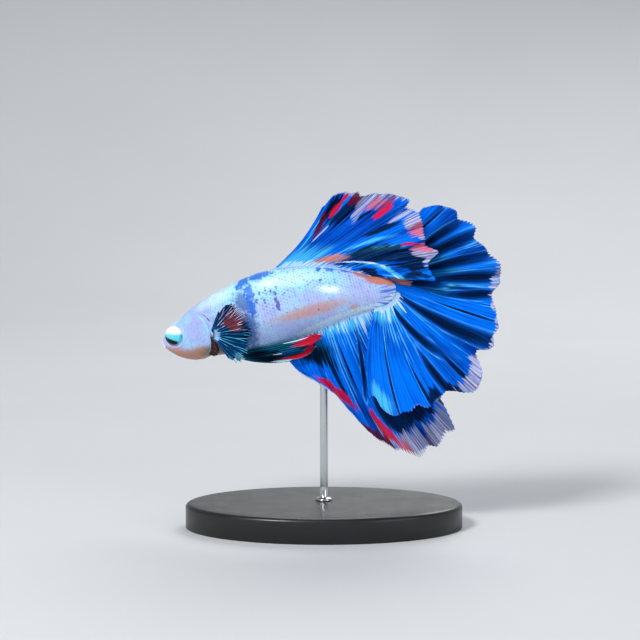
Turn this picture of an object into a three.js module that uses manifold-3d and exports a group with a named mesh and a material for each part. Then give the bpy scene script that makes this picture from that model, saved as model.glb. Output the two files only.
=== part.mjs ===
// A male halfmoon betta (Betta splendens), life size, held in mid swim on a small display stand.
//
// Millimetres, +Z up. The origin is the middle of the stand base's underside. The fish swims
// towards -X with its head down, so its left flank faces -Y. Every piece of the fish is first
// drawn level in the fish's own axes (x towards the tail, y to its right, z up its back), then
// one group pitches it and lifts it over the base.

import * as THREE from 'three';
import { mergeVertices } from 'three/addons/utils/BufferGeometryUtils.js';
import Module from 'manifold-3d';

// ---- Driving dimensions ------------------------------------------------------------------

const BODY_LENGTH = 51.7;          // mouth tip to the end of the tail stalk, along the spine
const SNOUT = { x: -29.4, y: 11.3 };
const PITCH = 14.5;                // degrees, nose down
const FISH_PLACE = { x: -4.8, z: 44.4 };

const HEAD_YAW = 28;               // degrees, the head looks away from the left
const TRUNK_YAW = 6;
const HEAD_END = 14.9;             // along the spine, where the head stops being straight
const BEND_END = 31;

const SEAM = 0.3;                  // gap between neighbouring pieces
const FIN_HALF = 0.28;             // half of a fin's thickness

const EYE = { along: 4.2, out: 1.98, up: 0.4, radius: 2.1, depth: 1.4 };
const GILL = { along: 10.9, up: -0.7, long: 3.3, high: 4.3, slant: 0.6, depth: 2.2 };
const JAW = { lip: -0.3, drop: 1.5, corner: 1.9, heel: 5.2 };
const STALK_START = 42.3;          // along the spine, where the trunk gives way to the tail stalk
const TAIL_ROOT = { x: 18.4, z: -0.6 };
const TAIL_ARC = { x: 16.2, z: -0.6, long: 4.35, high: 3.75, first: 92, last: -110 };

const BASE = { long: 56, wide: 38, high: 5, edge: 0.8 };
const ROD = { x: 0, y: 2.0, radius: 0.8, top: 38.4 };
const CUP = { radius: 1.9, high: 2.6 };

const BODY_RING = 24;              // points round a section of the body
const BODY_STEP = 1.3;             // distance between its sections
const GILL_SIDES = 22;
const EYE_SIDES = 16;
const ROD_SIDES = 20;
const BASE_SIDES = 40;

// ---- Plain maths -------------------------------------------------------------------------

const radians = THREE.MathUtils.degToRad;
const smooth = THREE.MathUtils.smoothstep;
const mix = THREE.MathUtils.lerp;

/** A smooth curve y(x) through points [x, y], with slopes taken from each point's neighbours. */
function through(points) {
  const last = points.length - 1;
  const rise = (i, j) => (points[j][1] - points[i][1]) / (points[j][0] - points[i][0]);
  const slopes = points.map((_, i) => rise(Math.max(i - 1, 0), Math.min(i + 1, last)));
  return (x) => {
    const at = THREE.MathUtils.clamp(x, points[0][0], points[last][0]);
    let i = 0;
    while (i < last - 1 && at > points[i + 1][0]) i += 1;
    const width = points[i + 1][0] - points[i][0];
    const t = (at - points[i][0]) / width;
    const start = (1 + 2 * t) * (1 - t) ** 2 * points[i][1] + t * (1 - t) ** 2 * width * slopes[i];
    const end = t * t * (3 - 2 * t) * points[i + 1][1] - t * t * (1 - t) * width * slopes[i + 1];
    return start + end;
  };
}

/** A quarter round that rises from 0 to 1 over a distance, for a blunt end. */
function bluntEnd(distance, reach) {
  const left = 1 - THREE.MathUtils.clamp(distance / reach, 0, 1);
  return Math.sqrt(1 - left * left);
}

// ---- The spine and the body's sections ---------------------------------------------------

/** Which way the body points at a distance along the spine, in radians away from +X. */
function heading(along) {
  const bend = smooth(along, HEAD_END, BEND_END);
  const straighten = smooth(along, BEND_END, BODY_LENGTH);
  return radians(mix(mix(HEAD_YAW, TRUNK_YAW, bend), 0, straighten));
}

const SPINE_STEP = 0.1;
const spine = [{ x: SNOUT.x, y: SNOUT.y }];
for (let along = 0; along < BODY_LENGTH + 1; along += SPINE_STEP) {
  const turn = heading(along + SPINE_STEP / 2);
  const before = spine[spine.length - 1];
  spine.push({
    x: before.x + Math.cos(turn) * SPINE_STEP,
    y: before.y - Math.sin(turn) * SPINE_STEP,
  });
}

/** The spine's place at a distance from the mouth tip. */
function spineAt(along) {
  const index = Math.min(Math.max(along / SPINE_STEP, 0), spine.length - 2);
  const low = Math.floor(index);
  const part = index - low;
  return {
    x: mix(spine[low].x, spine[low + 1].x, part),
    y: mix(spine[low].y, spine[low + 1].y, part),
  };
}

/** The distance along the spine at which it passes a given x. */
function alongAt(x) {
  const index = spine.findIndex((point) => point.x >= x);
  return (index < 0 ? spine.length - 1 : index) * SPINE_STEP;
}

const backLine = through([
  [0, 0.4], [1, 1.15], [2.2, 1.95], [3.6, 2.75], [5, 3.4], [7.8, 4.65], [10.9, 5.9],
  [14, 6.85], [17, 7.5], [22.5, 8.65], [27.5, 9.05], [34.3, 8.0], [39.3, 6.6], [43.3, 5.0],
  [45.3, 4.05], [47.7, 2.7], [BODY_LENGTH, 2.4],
]);
const bellyLine = through([
  [0, -1.7], [0.9, -2.4], [1.9, -3.35], [3.5, -4.5], [5.4, -5.3], [7.5, -5.75], [10, -5.75],
  [13.5, -5.75], [18.8, -6.25], [22.8, -6.45], [29.3, -6.0], [34.3, -5.0], [39.3, -4.2],
  [45.3, -3.85], [BODY_LENGTH, -3.9],
]);
const flankWidth = through([
  [0, 1.4], [1, 1.8], [2.4, 2.35], [4.2, 2.85], [8, 3.6], [11, 4.05], [14.3, 4.3], [19, 4.4],
  [26, 4.25], [32.3, 3.8], [38.3, 3.0], [44.3, 2.1], [48.3, 1.5], [BODY_LENGTH, 1.1],
]);
const widestHeight = through([[0, -0.7], [7, -0.1], [15, 0.9], [31, 1.6], [43, 0.4], [51, -0.6]]);

const SNOUT_ROUND = 1.5;           // how far back the blunt ends reach their full section
const STALK_ROUND = 4.1;
const KEEL = 0.3;                  // how much the belly narrows towards the anal fin
const KEEL_START = 16;
const KEEL_FULL = 31;

/** How much of its full section the body has at a distance along the spine: blunt at both ends. */
function fullness(along) {
  return bluntEnd(along, SNOUT_ROUND) * bluntEnd(BODY_LENGTH - along, STALK_ROUND);
}

/** A section's top, bottom, half width and the height at which it is widest. */
function section(along) {
  const middle = widestHeight(along);
  const size = fullness(along);
  return {
    top: middle + (backLine(along) - middle) * size,
    bottom: middle + (bellyLine(along) - middle) * size,
    half: flankWidth(along) * size,
    middle,
  };
}

/**
 * A point on the skin: along the spine, round the section (0 is the right flank, 90 degrees the
 * back), and out from it. The section is an oval a little fuller than an ellipse, and its lower
 * part narrows to a keel towards the anal fin.
 */
function skinPoint(along, round, out = 0) {
  const { top, bottom, half, middle } = section(along);
  const rise = Math.sin(round);
  const side = Math.sign(Math.cos(round)) * Math.abs(Math.cos(round)) ** 0.88;
  const keel = rise < 0 ? 1 - KEEL * smooth(along, KEEL_START, KEEL_FULL) * rise * rise : 1;
  const high = rise > 0 ? top - middle : middle - bottom;
  return bodyPoint(along, side * (half * keel + out), middle + rise * (high + out));
}

/** A place given along the spine, sideways from it (positive to the right) and up. */
function bodyPoint(along, sideways, up) {
  const centre = spineAt(along);
  const turn = heading(along);
  return new THREE.Vector3(
    centre.x + Math.sin(turn) * sideways,
    centre.y + Math.cos(turn) * sideways,
    up,
  );
}

// ---- Solids ------------------------------------------------------------------------------

const wasm = await Module();
wasm.setup();

/** A geometry with nothing but merged positions, ready for joins and cuts. */
function bare(geometry) {
  const copy = geometry.clone();
  copy.deleteAttribute('normal');
  copy.deleteAttribute('uv');
  return mergeVertices(copy, 1e-5);
}

function toSolid(geometry) {
  const merged = bare(geometry);
  return new wasm.Manifold(new wasm.Mesh({
    numProp: 3,
    vertProperties: Float32Array.from(merged.attributes.position.array),
    triVerts: Uint32Array.from(merged.index.array),
  }));
}

function toGeometry(solid) {
  const mesh = solid.getMesh();
  const geometry = new THREE.BufferGeometry();
  geometry.setAttribute('position', new THREE.BufferAttribute(mesh.vertProperties, 3));
  geometry.setIndex(new THREE.BufferAttribute(mesh.triVerts, 1));
  return geometry;
}

/** A closed skin over rings of points, each ring wound the same way, with a point at each end. */
function loft(rings, firstPole, lastPole) {
  const size = rings[0].length;
  const points = [firstPole, ...rings.flat(), lastPole];
  const faces = [];
  const at = (ring, i) => 1 + ring * size + (i % size);
  for (let i = 0; i < size; i += 1) {
    faces.push(0, at(0, i + 1), at(0, i));
    faces.push(points.length - 1, at(rings.length - 1, i), at(rings.length - 1, i + 1));
    for (let ring = 0; ring < rings.length - 1; ring += 1) {
      faces.push(at(ring, i), at(ring, i + 1), at(ring + 1, i + 1));
      faces.push(at(ring, i), at(ring + 1, i + 1), at(ring + 1, i));
    }
  }
  return fromPoints(points, faces);
}

function fromPoints(points, faces) {
  const geometry = new THREE.BufferGeometry().setFromPoints(points);
  geometry.setIndex(faces);
  return geometry;
}

/** The whole body, grown outwards by a distance, as one solid. */
function bodySolid(out) {
  const steps = Math.round(BODY_LENGTH / BODY_STEP);
  const rings = [];
  for (let step = 0; step <= steps; step += 1) {
    const even = step / steps;
    const along = mix(0.12, BODY_LENGTH - 0.12, even - 0.06 * Math.sin(2 * Math.PI * even));
    rings.push(ring((round) => skinPoint(along, round, out)));
  }
  const mouth = bodyPoint(-out, 0, widestHeight(0));
  const stern = spineAt(BODY_LENGTH);
  const end = new THREE.Vector3(stern.x + out, stern.y, widestHeight(BODY_LENGTH));
  return toSolid(loft(rings, mouth, end));
}

function ring(pointAt) {
  const points = [];
  for (let i = 0; i < BODY_RING; i += 1) {
    points.push(pointAt((2 * Math.PI * i) / BODY_RING));
  }
  return points;
}

/**
 * A block whose outline is drawn along the spine and up, pushed through from one side to the
 * other. It is straight, and lies square to the spine at the distance called square.
 */
function throughBlock(outline, from, to, square = 0) {
  const shape = new THREE.Shape(outline.map(([along, up]) => new THREE.Vector2(along, up)));
  const block = new THREE.ExtrudeGeometry(shape, { depth: to - from, bevelEnabled: false });
  const places = block.attributes.position;
  for (let i = 0; i < places.count; i += 1) {
    const side = from + places.getZ(i);
    const point = bodyPoint(square, side, places.getY(i));
    const turn = heading(square);
    point.x += Math.cos(turn) * (places.getX(i) - square);
    point.y -= Math.sin(turn) * (places.getX(i) - square);
    places.setXYZ(i, point.x, point.y, point.z);
  }
  return toSolid(flipped(block));
}

/** The same faces wound the other way. */
function flipped(geometry) {
  const merged = bare(geometry);
  const index = Array.from(merged.index.array);
  for (let i = 0; i < index.length; i += 3) {
    [index[i], index[i + 1]] = [index[i + 1], index[i]];
  }
  merged.setIndex(index);
  return merged;
}

/** The same closed geometry with its faces turned outwards, judged by its signed volume. */
function facingOut(geometry) {
  const places = geometry.attributes.position;
  const index = geometry.index.array;
  const corner = [new THREE.Vector3(), new THREE.Vector3(), new THREE.Vector3()];
  let volume = 0;
  for (let i = 0; i < index.length; i += 3) {
    corner.forEach((point, j) => point.fromBufferAttribute(places, index[i + j]));
    volume += corner[0].dot(corner[1].cross(corner[2]));
  }
  return volume < 0 ? flipped(geometry) : geometry;
}

// ---- Fins --------------------------------------------------------------------------------

const LEAN_POWER = 0.9;            // below 1, so neighbouring fins part soon after their bases
const PLEAT_POWER = 1.25;          // above 1, so the pleats deepen towards the margin

/**
 * A pleated fin as a closed solid. Its rays run from a base curve to a tip curve, both given by
 * the share u along the fin. Each fold is [u, tip x, tip z, height], where the height says how
 * far the pleat stands towards the left (+1) or the right (-1). A point on a ray is
 *   base + (tip - base) * v, bowed square to the ray by bow(u) * 4 v (1 - v), and pushed
 *   sideways by lean(u) * v ** LEAN_POWER and by pleat * v ** PLEAT_POWER * height(u).
 */
function pleatedFin({ folds, baseAt, lean, pleat, rows, bow = () => 0, between = 1 }) {
  const tipX = through(folds.map(([u, x]) => [u, x]));
  const tipZ = through(folds.map(([u, , z]) => [u, z]));
  const height = foldHeight(folds);
  const pointAt = (u, v) => {
    const base = baseAt(u);
    const ray = new THREE.Vector2(tipX(u) - base.x, tipZ(u) - base.z);
    const bend = (bow(u) * 4 * v * (1 - v)) / ray.length();
    return new THREE.Vector3(
      base.x + ray.x * v - ray.y * bend,
      base.y + lean(u) * v ** LEAN_POWER - pleat * v ** PLEAT_POWER * height(u),
      base.z + ray.y * v + ray.x * bend,
    );
  };
  const shares = [];
  folds.slice(1).forEach(([u], i) => {
    for (let part = 0; part <= between; part += 1) {
      shares.push(mix(folds[i][0], u, part / (between + 1)));
    }
  });
  shares.push(folds[folds.length - 1][0]);
  return sheetSolid(shares, rows, pointAt);
}

/** The pleats' height between folds: it eases from each fold to the next with no overshoot. */
function foldHeight(folds) {
  return (u) => {
    let i = 0;
    while (i < folds.length - 2 && u > folds[i + 1][0]) i += 1;
    return mix(folds[i][3], folds[i + 1][3], smooth(u, folds[i][0], folds[i + 1][0]));
  };
}

const STEEPEST = 1.6;              // the most that a steep pleat's sideways thickness grows

/** A thin closed solid on both sides of a surface pointAt(u, v), of even thickness across it. */
function sheetSolid(shares, rows, pointAt) {
  const left = [];
  const right = [];
  const delta = 0.004;
  shares.forEach((u) => {
    for (let row = 0; row <= rows; row += 1) {
      const v = row / rows;
      const point = pointAt(u, v);
      const before = pointAt(Math.max(u - delta, 0), v);
      const after = pointAt(Math.min(u + delta, 1), v);
      const run = Math.hypot(after.x - before.x, after.z - before.z);
      const steep = Math.hypot(1, (after.y - before.y) / run);
      const half = FIN_HALF * Math.min(steep, STEEPEST);
      left.push(point.clone().setY(point.y - half));
      right.push(point.clone().setY(point.y + half));
    }
  });
  const wide = rows + 1;
  const count = left.length;
  const faces = [];
  const quad = (a, b, c, d) => faces.push(a, b, c, a, c, d);
  for (let i = 0; i < shares.length - 1; i += 1) {
    for (let j = 0; j < rows; j += 1) {
      const at = i * wide + j;
      quad(at, at + wide, at + wide + 1, at + 1);
      quad(count + at, count + at + 1, count + at + wide + 1, count + at + wide);
    }
    const foot = i * wide;
    const tip = foot + rows;
    quad(foot, count + foot, count + foot + wide, foot + wide);
    quad(tip, tip + wide, count + tip + wide, count + tip);
  }
  const lastColumn = (shares.length - 1) * wide;
  for (let j = 0; j < rows; j += 1) {
    quad(j, j + 1, count + j + 1, count + j);
    quad(lastColumn + j, count + lastColumn + j, count + lastColumn + j + 1, lastColumn + j + 1);
  }
  return facingOut(fromPoints([...left, ...right], faces));
}

/** A base line along the back (+1) or the belly (-1) between two places, clear of the skin. */
function bodyEdge(from, to, side) {
  return (u) => {
    const along = alongAt(mix(from, to, u));
    const { top, bottom } = section(along);
    return bodyPoint(along, 0, side > 0 ? top + SEAM : bottom - SEAM);
  };
}

const DORSAL = {
  from: -3,
  to: 12.6,
  folds: [
    [0, 9.4, 18.6, 0.4], [0.08, 12.0, 20.2, 1], [0.18, 14.6, 20.4, 0.2], [0.3, 18.0, 19.5, 0.9],
    [0.38, 20.3, 18.8, -0.4], [0.48, 23.2, 17.8, 0.9], [0.55, 25.0, 17.0, -0.5],
    [0.62, 27.0, 15.7, 1], [0.68, 26.6, 14.1, -1], [0.74, 28.0, 12.2, 0.9],
    [0.79, 28.7, 9.8, -0.8], [0.84, 28.6, 7.6, 0.9], [0.89, 28.2, 6.0, -0.8],
    [0.93, 29.5, 4.2, 0.8], [0.965, 27.5, 2.4, -0.6], [1, 28.0, -1.2, 0.5],
  ],
  lean: through([[0, 0.6], [0.3, -0.2], [0.55, -1.6], [0.75, -3.2], [1, -4.4]]),
  bow: through([[0, -0.9], [0.5, -0.4], [1, 0.4]]),
  pleat: 0.75,
};

const ANAL = {
  from: -6.4,
  to: 12.6,
  folds: [
    [0, -4.8, -9.6, 0], [0.08, -3.3, -12.6, 0.8], [0.16, -1.2, -14.8, 0.2],
    [0.25, 1.2, -17.3, 1], [0.31, 3.0, -19.8, -1], [0.37, 4.5, -22.7, 0.9],
    [0.43, 6.2, -26.1, -0.4], [0.49, 8.0, -29.2, 1], [0.55, 10.1, -31.5, -0.9],
    [0.61, 12.4, -33.6, 0.9], [0.66, 14.6, -35.0, -0.7], [0.72, 17.2, -36.0, 0.8],
    [0.77, 19.2, -35.3, -0.8], [0.83, 21.6, -34.3, 0.9], [0.88, 24.0, -33.0, -0.7],
    [0.92, 24.1, -29.8, 0.8], [0.96, 23.6, -26.0, -0.6], [1, 22.4, -21.0, 0.4],
  ],
  lean: through([[0, -0.1], [0.35, 0], [0.6, 1.2], [0.8, 2.6], [1, 3.6]]),
  bow: through([[0, -0.2], [0.4, -0.9], [1, -1.2]]),
  pleat: 0.8,
};

// The tail fan: each fold is [angle from the tail root, reach from it, height].
const TAIL_FOLDS = [
  [52.5, 17.6, 0.2], [44.5, 19.7, 1], [40, 20.0, -0.3], [35.5, 20.5, 0.9], [29.5, 20.5, -1],
  [20.5, 21.3, 1], [14, 20.6, -0.9], [9.5, 21.0, 0.8], [4.5, 21.5, -0.9], [-1.5, 23.2, 0.9],
  [-5.5, 22.9, 0.4], [-9, 22.4, -0.9], [-12.5, 22.2, 0.6], [-18, 21.4, -0.9], [-23, 21.6, 0.7],
  [-30, 23.0, 1], [-38, 23.8, 0.8], [-45.5, 23.4, 0.9], [-50.5, 21.8, -1], [-56, 24.8, 0.8],
  [-62, 26.6, 0.6], [-68, 26.2, -1], [-75, 23.9, 0.9], [-80.5, 24.0, -0.5], [-86, 24.8, 1],
  [-91.5, 23.6, 0.4], [-95.5, 25.0, 0.9], [-102, 25.2, 1], [-108.5, 23.6, 0.6],
  [-112.5, 21.8, -0.6], [-116, 21.6, 0.5],
];

const TAIL = {
  lean: through([[0, 3.2], [0.25, 2.4], [0.45, 0.6], [0.6, -1.6], [0.8, -4.2], [1, -5.0]]),
  bow: through([[0, 0.3], [0.4, 0], [0.7, -0.6], [1, -0.9]]),
  pleat: 0.95,
};

/** The tail fan's folds with their tips worked out from angle and reach. */
function tailFolds() {
  const first = TAIL_FOLDS[0][0];
  const whole = first - TAIL_FOLDS[TAIL_FOLDS.length - 1][0];
  return TAIL_FOLDS.map(([angle, reach, height]) => [
    (first - angle) / whole,
    TAIL_ROOT.x + reach * Math.cos(radians(angle)),
    TAIL_ROOT.z + reach * Math.sin(radians(angle)),
    height,
  ]);
}

/** The tail fan's base: an arc round the blunt end of the tail stalk. */
function tailBase(u) {
  const angle = radians(mix(TAIL_ARC.first, TAIL_ARC.last, u));
  const x = TAIL_ARC.x + TAIL_ARC.long * Math.cos(angle);
  const z = TAIL_ARC.z + TAIL_ARC.high * Math.sin(angle);
  const sideways = through([[0, 0.35], [0.3, 0], [0.7, 0], [1, -0.45]])(u);
  return new THREE.Vector3(x, spineAt(alongAt(x)).y + sideways, z);
}

// The ventral fins are long blades laid back along the belly: [share, x, z, half height, y].
const VENTRAL_LEFT = [
  [0, -14.4, -5.9, 0.6, -0.3], [0.15, -11.6, -6.3, 0.85, -1.0], [0.4, -7.2, -6.6, 0.95, -2.0],
  [0.7, -1.9, -6.7, 1.0, -2.9], [0.88, 1.0, -6.45, 0.95, -3.3], [1, 3.3, -5.8, 0.25, -3.4],
];
const VENTRAL_RIGHT = [
  [0, -14.2, -6.95, 0.5, 3.8], [0.15, -11.6, -7.7, 0.75, 2.0], [0.4, -7.6, -8.6, 0.8, -0.2],
  [0.7, -3.2, -8.9, 0.85, -1.6], [0.9, -0.4, -8.5, 0.75, -2.1], [1, 1.3, -7.8, 0.25, -2.2],
];

const BLADE_BULGE = 0.35;          // how far a blade's edges curl to the left at its tip

/** A blade along a centre line, as a sheet of the given half height. */
function bladeFin(stations, columns, rows) {
  const track = (field) => through(stations.map((station) => [station[0], station[field]]));
  const [x, z, half, y] = [1, 2, 3, 4].map(track);
  const shares = Array.from({ length: columns + 1 }, (_, i) => i / columns);
  return sheetSolid(shares, rows, (u, v) => {
    const across = 2 * v - 1;
    const curl = BLADE_BULGE * across * across * u;
    return new THREE.Vector3(x(u), y(u) - curl, z(u) - half(u) * across);
  });
}

// The pectoral fans lie in their own plane: each fold is [angle, reach, height].
const PECTORAL_FOLDS = [
  [50, 5.4, 0], [42, 7.8, 0.8], [34, 9.3, -0.5], [24, 10.0, 0.8], [13, 10.3, -0.5],
  [2, 10.2, 0.8], [-8, 10.3, -0.5], [-18, 9.9, 0.8], [-29, 9.5, -0.5], [-41, 9.0, 0.8],
  [-52, 8.6, -0.4], [-60, 6.6, 0.2],
];
const PECTORAL = { along: 15.1, up: -0.6, clear: 0.75, root: 0.9, leftYaw: 5, rightYaw: 26 };

/** A pectoral fan on one side (-1 left, +1 right), drawn in its own plane and then turned. */
function pectoralFin(side) {
  const first = PECTORAL_FOLDS[0][0];
  const whole = first - PECTORAL_FOLDS[PECTORAL_FOLDS.length - 1][0];
  const folds = PECTORAL_FOLDS.map(([angle, reach, height]) => [
    (first - angle) / whole,
    reach * Math.cos(radians(angle)),
    reach * Math.sin(radians(angle)),
    -height * side,
  ]);
  const baseAt = (u) => {
    const angle = radians(mix(70, -75, u));
    return new THREE.Vector3(
      PECTORAL.root * Math.cos(angle),
      0,
      PECTORAL.root * 1.2 * Math.sin(angle),
    );
  };
  const cup = through([[0, 0.9 * side], [0.5, 0.3 * side], [1, 0.8 * side]]);
  return pleatedFin({ folds, baseAt, lean: cup, pleat: 0.35, rows: 5, between: 0 });
}

// ---- The body cut into its named parts ---------------------------------------------------

const FAR = 30;                    // past anything that a block has to reach

/** Everything of the body between two distances along it, cut square to the spine. */
function lengthOf(solid, from, to) {
  const behind = [[from, -FAR], [FAR * 2, -FAR], [FAR * 2, FAR], [from, FAR]];
  const ahead = [[-FAR, -FAR], [to, -FAR], [to, FAR], [-FAR, FAR]];
  const after = throughBlock(behind, -FAR, FAR, from);
  const before = throughBlock(ahead, -FAR, FAR, to);
  return solid.intersect(after).intersect(before);
}

/** A ball flattened sideways, in the head: an eye, or with a margin its socket. */
function eyeSolid(side, margin) {
  const ball = new THREE.SphereGeometry(1, EYE_SIDES, 10);
  const radius = EYE.radius + margin;
  ball.scale(radius, EYE.depth + margin, radius);
  ball.rotateZ(-heading(EYE.along));
  const centre = bodyPoint(EYE.along, side * EYE.out, EYE.up);
  ball.translate(centre.x, centre.y, centre.z);
  return ball;
}

/** The rounded plate over the gills, or with a margin the hole that it fills. */
function gillOutline(margin) {
  const outline = [];
  for (let i = 0; i < GILL_SIDES; i += 1) {
    const angle = (2 * Math.PI * i) / GILL_SIDES;
    outline.push([
      GILL.along + (GILL.long + margin) * Math.cos(angle),
      GILL.up + (GILL.high + margin) * Math.sin(angle) + GILL.slant * Math.cos(angle),
    ]);
  }
  return outline;
}

/** The lower jaw's outline from the side, or with a margin the space that it fills. */
function jawOutline(margin) {
  return [
    [-2, JAW.lip + margin],
    [JAW.corner, JAW.lip - JAW.drop + margin],
    [JAW.heel + margin * 1.2, -FAR / 4],
    [-2, -FAR / 4],
  ];
}

const body = bodySolid(0);
const grownBody = bodySolid(SEAM);

let head = lengthOf(body, -FAR, HEAD_END - SEAM / 2);
const trunk = lengthOf(body, HEAD_END + SEAM / 2, STALK_START - SEAM / 2);
const stalk = lengthOf(body, STALK_START + SEAM / 2, FAR * 2);

const jaw = head.intersect(throughBlock(jawOutline(0), -FAR, FAR));
head = head.subtract(throughBlock(jawOutline(SEAM), -FAR, FAR));

const covers = {};
Object.entries({ left: -1, right: 1 }).forEach(([name, side]) => {
  const reach = (depth) => (side < 0 ? [-FAR, -depth] : [depth, FAR]);
  covers[name] = head.intersect(throughBlock(gillOutline(0), ...reach(GILL.depth)));
  head = head.subtract(throughBlock(gillOutline(SEAM), ...reach(GILL.depth - SEAM)));
  head = head.subtract(toSolid(eyeSolid(side, SEAM)));
});

// ---- The stand ---------------------------------------------------------------------------

/** The oval base: a turned disc with a soft upper edge, drawn out to an oval. */
function baseGeometry() {
  const soft = [0, 30, 60, 90].map((degrees) => new THREE.Vector2(
    1 - (BASE.edge * (1 - Math.cos(radians(degrees)))) / (BASE.wide / 2),
    BASE.high - BASE.edge * (1 - Math.sin(radians(degrees))),
  ));
  const foot = [new THREE.Vector2(0, 0), new THREE.Vector2(1, 0)];
  const middle = new THREE.Vector2(0, BASE.high);
  const disc = new THREE.LatheGeometry([...foot, ...soft, middle], BASE_SIDES);
  disc.rotateX(Math.PI / 2);
  disc.scale(BASE.long / 2, BASE.wide / 2, 1);
  return facingOut(bare(disc));
}

/** A round bar standing at the rod's place between two heights. */
function uprightBar(radius, from, to) {
  const bar = new THREE.CylinderGeometry(radius, radius, to - from, ROD_SIDES);
  bar.rotateX(Math.PI / 2);
  bar.translate(ROD.x, ROD.y, (from + to) / 2);
  return bar;
}

// ---- The finished model ------------------------------------------------------------------

const fish = new THREE.Group();
fish.position.set(FISH_PLACE.x, 0, FISH_PLACE.z);
fish.rotation.y = -radians(PITCH);
fish.updateMatrixWorld();

const bodyOverStand = toSolid(toGeometry(grownBody).applyMatrix4(fish.matrixWorld));
const cup = toSolid(uprightBar(CUP.radius, ROD.top, ROD.top + CUP.high)).subtract(bodyOverStand);

const finish = (color, roughness, metalness) => () => (
  new THREE.MeshStandardMaterial({ color, roughness, metalness })
);
const pearlSkin = finish('#b9c6ea', 0.35, 0.1);
const paleFace = finish('#cfc6dd', 0.4, 0);
const wetEye = finish('#1d5f74', 0.08, 0);
const azureFin = finish('#0a62e6', 0.35, 0.2);
const tealFin = finish('#0f5f86', 0.35, 0.1);
const blackLacquer = finish('#141416', 0.25, 0);
const brightSteel = finish('#c3c7cb', 0.22, 1);

/** A named mesh with a material of its own. */
function piece(name, geometry, material) {
  const mesh = new THREE.Mesh(geometry, material());
  mesh.name = name;
  return mesh;
}

fish.add(piece('head', toGeometry(head), paleFace));
fish.add(piece('lower_jaw', toGeometry(jaw), paleFace));
fish.add(piece('trunk', toGeometry(trunk), pearlSkin));
fish.add(piece('tail_stalk', toGeometry(stalk), pearlSkin));

const dorsal = { ...DORSAL, baseAt: bodyEdge(DORSAL.from, DORSAL.to, 1), rows: 7 };
const anal = { ...ANAL, baseAt: bodyEdge(ANAL.from, ANAL.to, -1), rows: 7 };
const tail = { ...TAIL, folds: tailFolds(), baseAt: tailBase, rows: 6 };
fish.add(piece('dorsal_fin', pleatedFin(dorsal), azureFin));
fish.add(piece('anal_fin', pleatedFin(anal), azureFin));
fish.add(piece('tail_fin', pleatedFin(tail), azureFin));
fish.add(piece('ventral_fin_left', bladeFin(VENTRAL_LEFT, 12, 2), tealFin));
fish.add(piece('ventral_fin_right', bladeFin(VENTRAL_RIGHT, 12, 2), tealFin));

Object.entries({ left: -1, right: 1 }).forEach(([name, side]) => {
  fish.add(piece(`gill_cover_${name}`, toGeometry(covers[name]), paleFace));
  fish.add(piece(`eye_${name}`, facingOut(bare(eyeSolid(side, 0))), wetEye));
  const pectoral = piece(`pectoral_fin_${name}`, pectoralFin(side), tealFin);
  const out = flankWidth(PECTORAL.along) + PECTORAL.clear;
  pectoral.position.copy(bodyPoint(PECTORAL.along, side * out, PECTORAL.up));
  const yaw = side < 0 ? PECTORAL.leftYaw : -PECTORAL.rightYaw;
  pectoral.rotation.z = -heading(PECTORAL.along) - radians(yaw);
  fish.add(pectoral);
});

const group = new THREE.Group();
group.add(fish);
group.add(piece('stand_base', baseGeometry(), blackLacquer));
group.add(piece('stand_rod', uprightBar(ROD.radius, BASE.high, ROD.top), brightSteel));
group.add(piece('stand_cup', toGeometry(cup), brightSteel));

export default group;
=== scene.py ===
# %% [markdown]
# # A male halfmoon betta on a small display stand
#
# The fish is life size, about 50 mm from lips to tail base. It swims towards -X with its head
# down and its left flank towards -Y. The solids of the packed frame say where everything is;
# this lesson dresses them: one skin with scales, glossy eyes, and fins of thin pleated
# membrane stretched over branching rays.
#
# Shapes are worked out with numpy in millimetres, in the fish's own level axes: x towards the
# tail, y to its right, z up its back. One function at the end of the maths pitches them and
# turns them into metres.

# %% Load the frame
import math
import bpy
import numpy as np
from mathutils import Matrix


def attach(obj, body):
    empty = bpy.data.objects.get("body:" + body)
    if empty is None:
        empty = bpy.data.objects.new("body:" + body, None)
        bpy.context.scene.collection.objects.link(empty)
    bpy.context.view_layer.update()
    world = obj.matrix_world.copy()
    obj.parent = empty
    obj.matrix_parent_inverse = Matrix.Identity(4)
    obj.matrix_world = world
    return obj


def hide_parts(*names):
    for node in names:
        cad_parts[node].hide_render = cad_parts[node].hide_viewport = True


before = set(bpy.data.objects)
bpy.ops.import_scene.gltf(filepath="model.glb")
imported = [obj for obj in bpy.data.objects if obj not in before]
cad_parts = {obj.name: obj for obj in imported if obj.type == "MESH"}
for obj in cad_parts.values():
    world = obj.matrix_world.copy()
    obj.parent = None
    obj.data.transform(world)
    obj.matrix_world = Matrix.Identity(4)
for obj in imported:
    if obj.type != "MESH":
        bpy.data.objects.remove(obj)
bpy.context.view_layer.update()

# %% [markdown]
# ## Curves and the spine
#
# A fish is a smooth curve seen from every side, so the first tool is a curve through a few
# named points. The same curve carries the back, the belly, the flanks and later the fins'
# edges. A cubic on each stretch is enough, and it never needs a solver.

# %% Curves through points
def smooth(value, low, high):
    """An S-shaped step, 3t^2 - 2t^3: 0 up to low and 1 from high on. With high below low it
    falls: 1 up to high and 0 from low on."""
    t = np.clip((value - low) / (high - low), 0, 1)
    return t * t * (3 - 2 * t)


def bump(value, centre, reach):
    """A soft hill, 1 at the centre and 0 from reach on: (1 - d^2)^2, d the share of reach."""
    d = np.clip(np.abs(value - centre) / reach, 0, 1)
    return (1 - d * d) ** 2


def mix(a, b, share):
    """Straight from a to b."""
    return a + (b - a) * share


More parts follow.
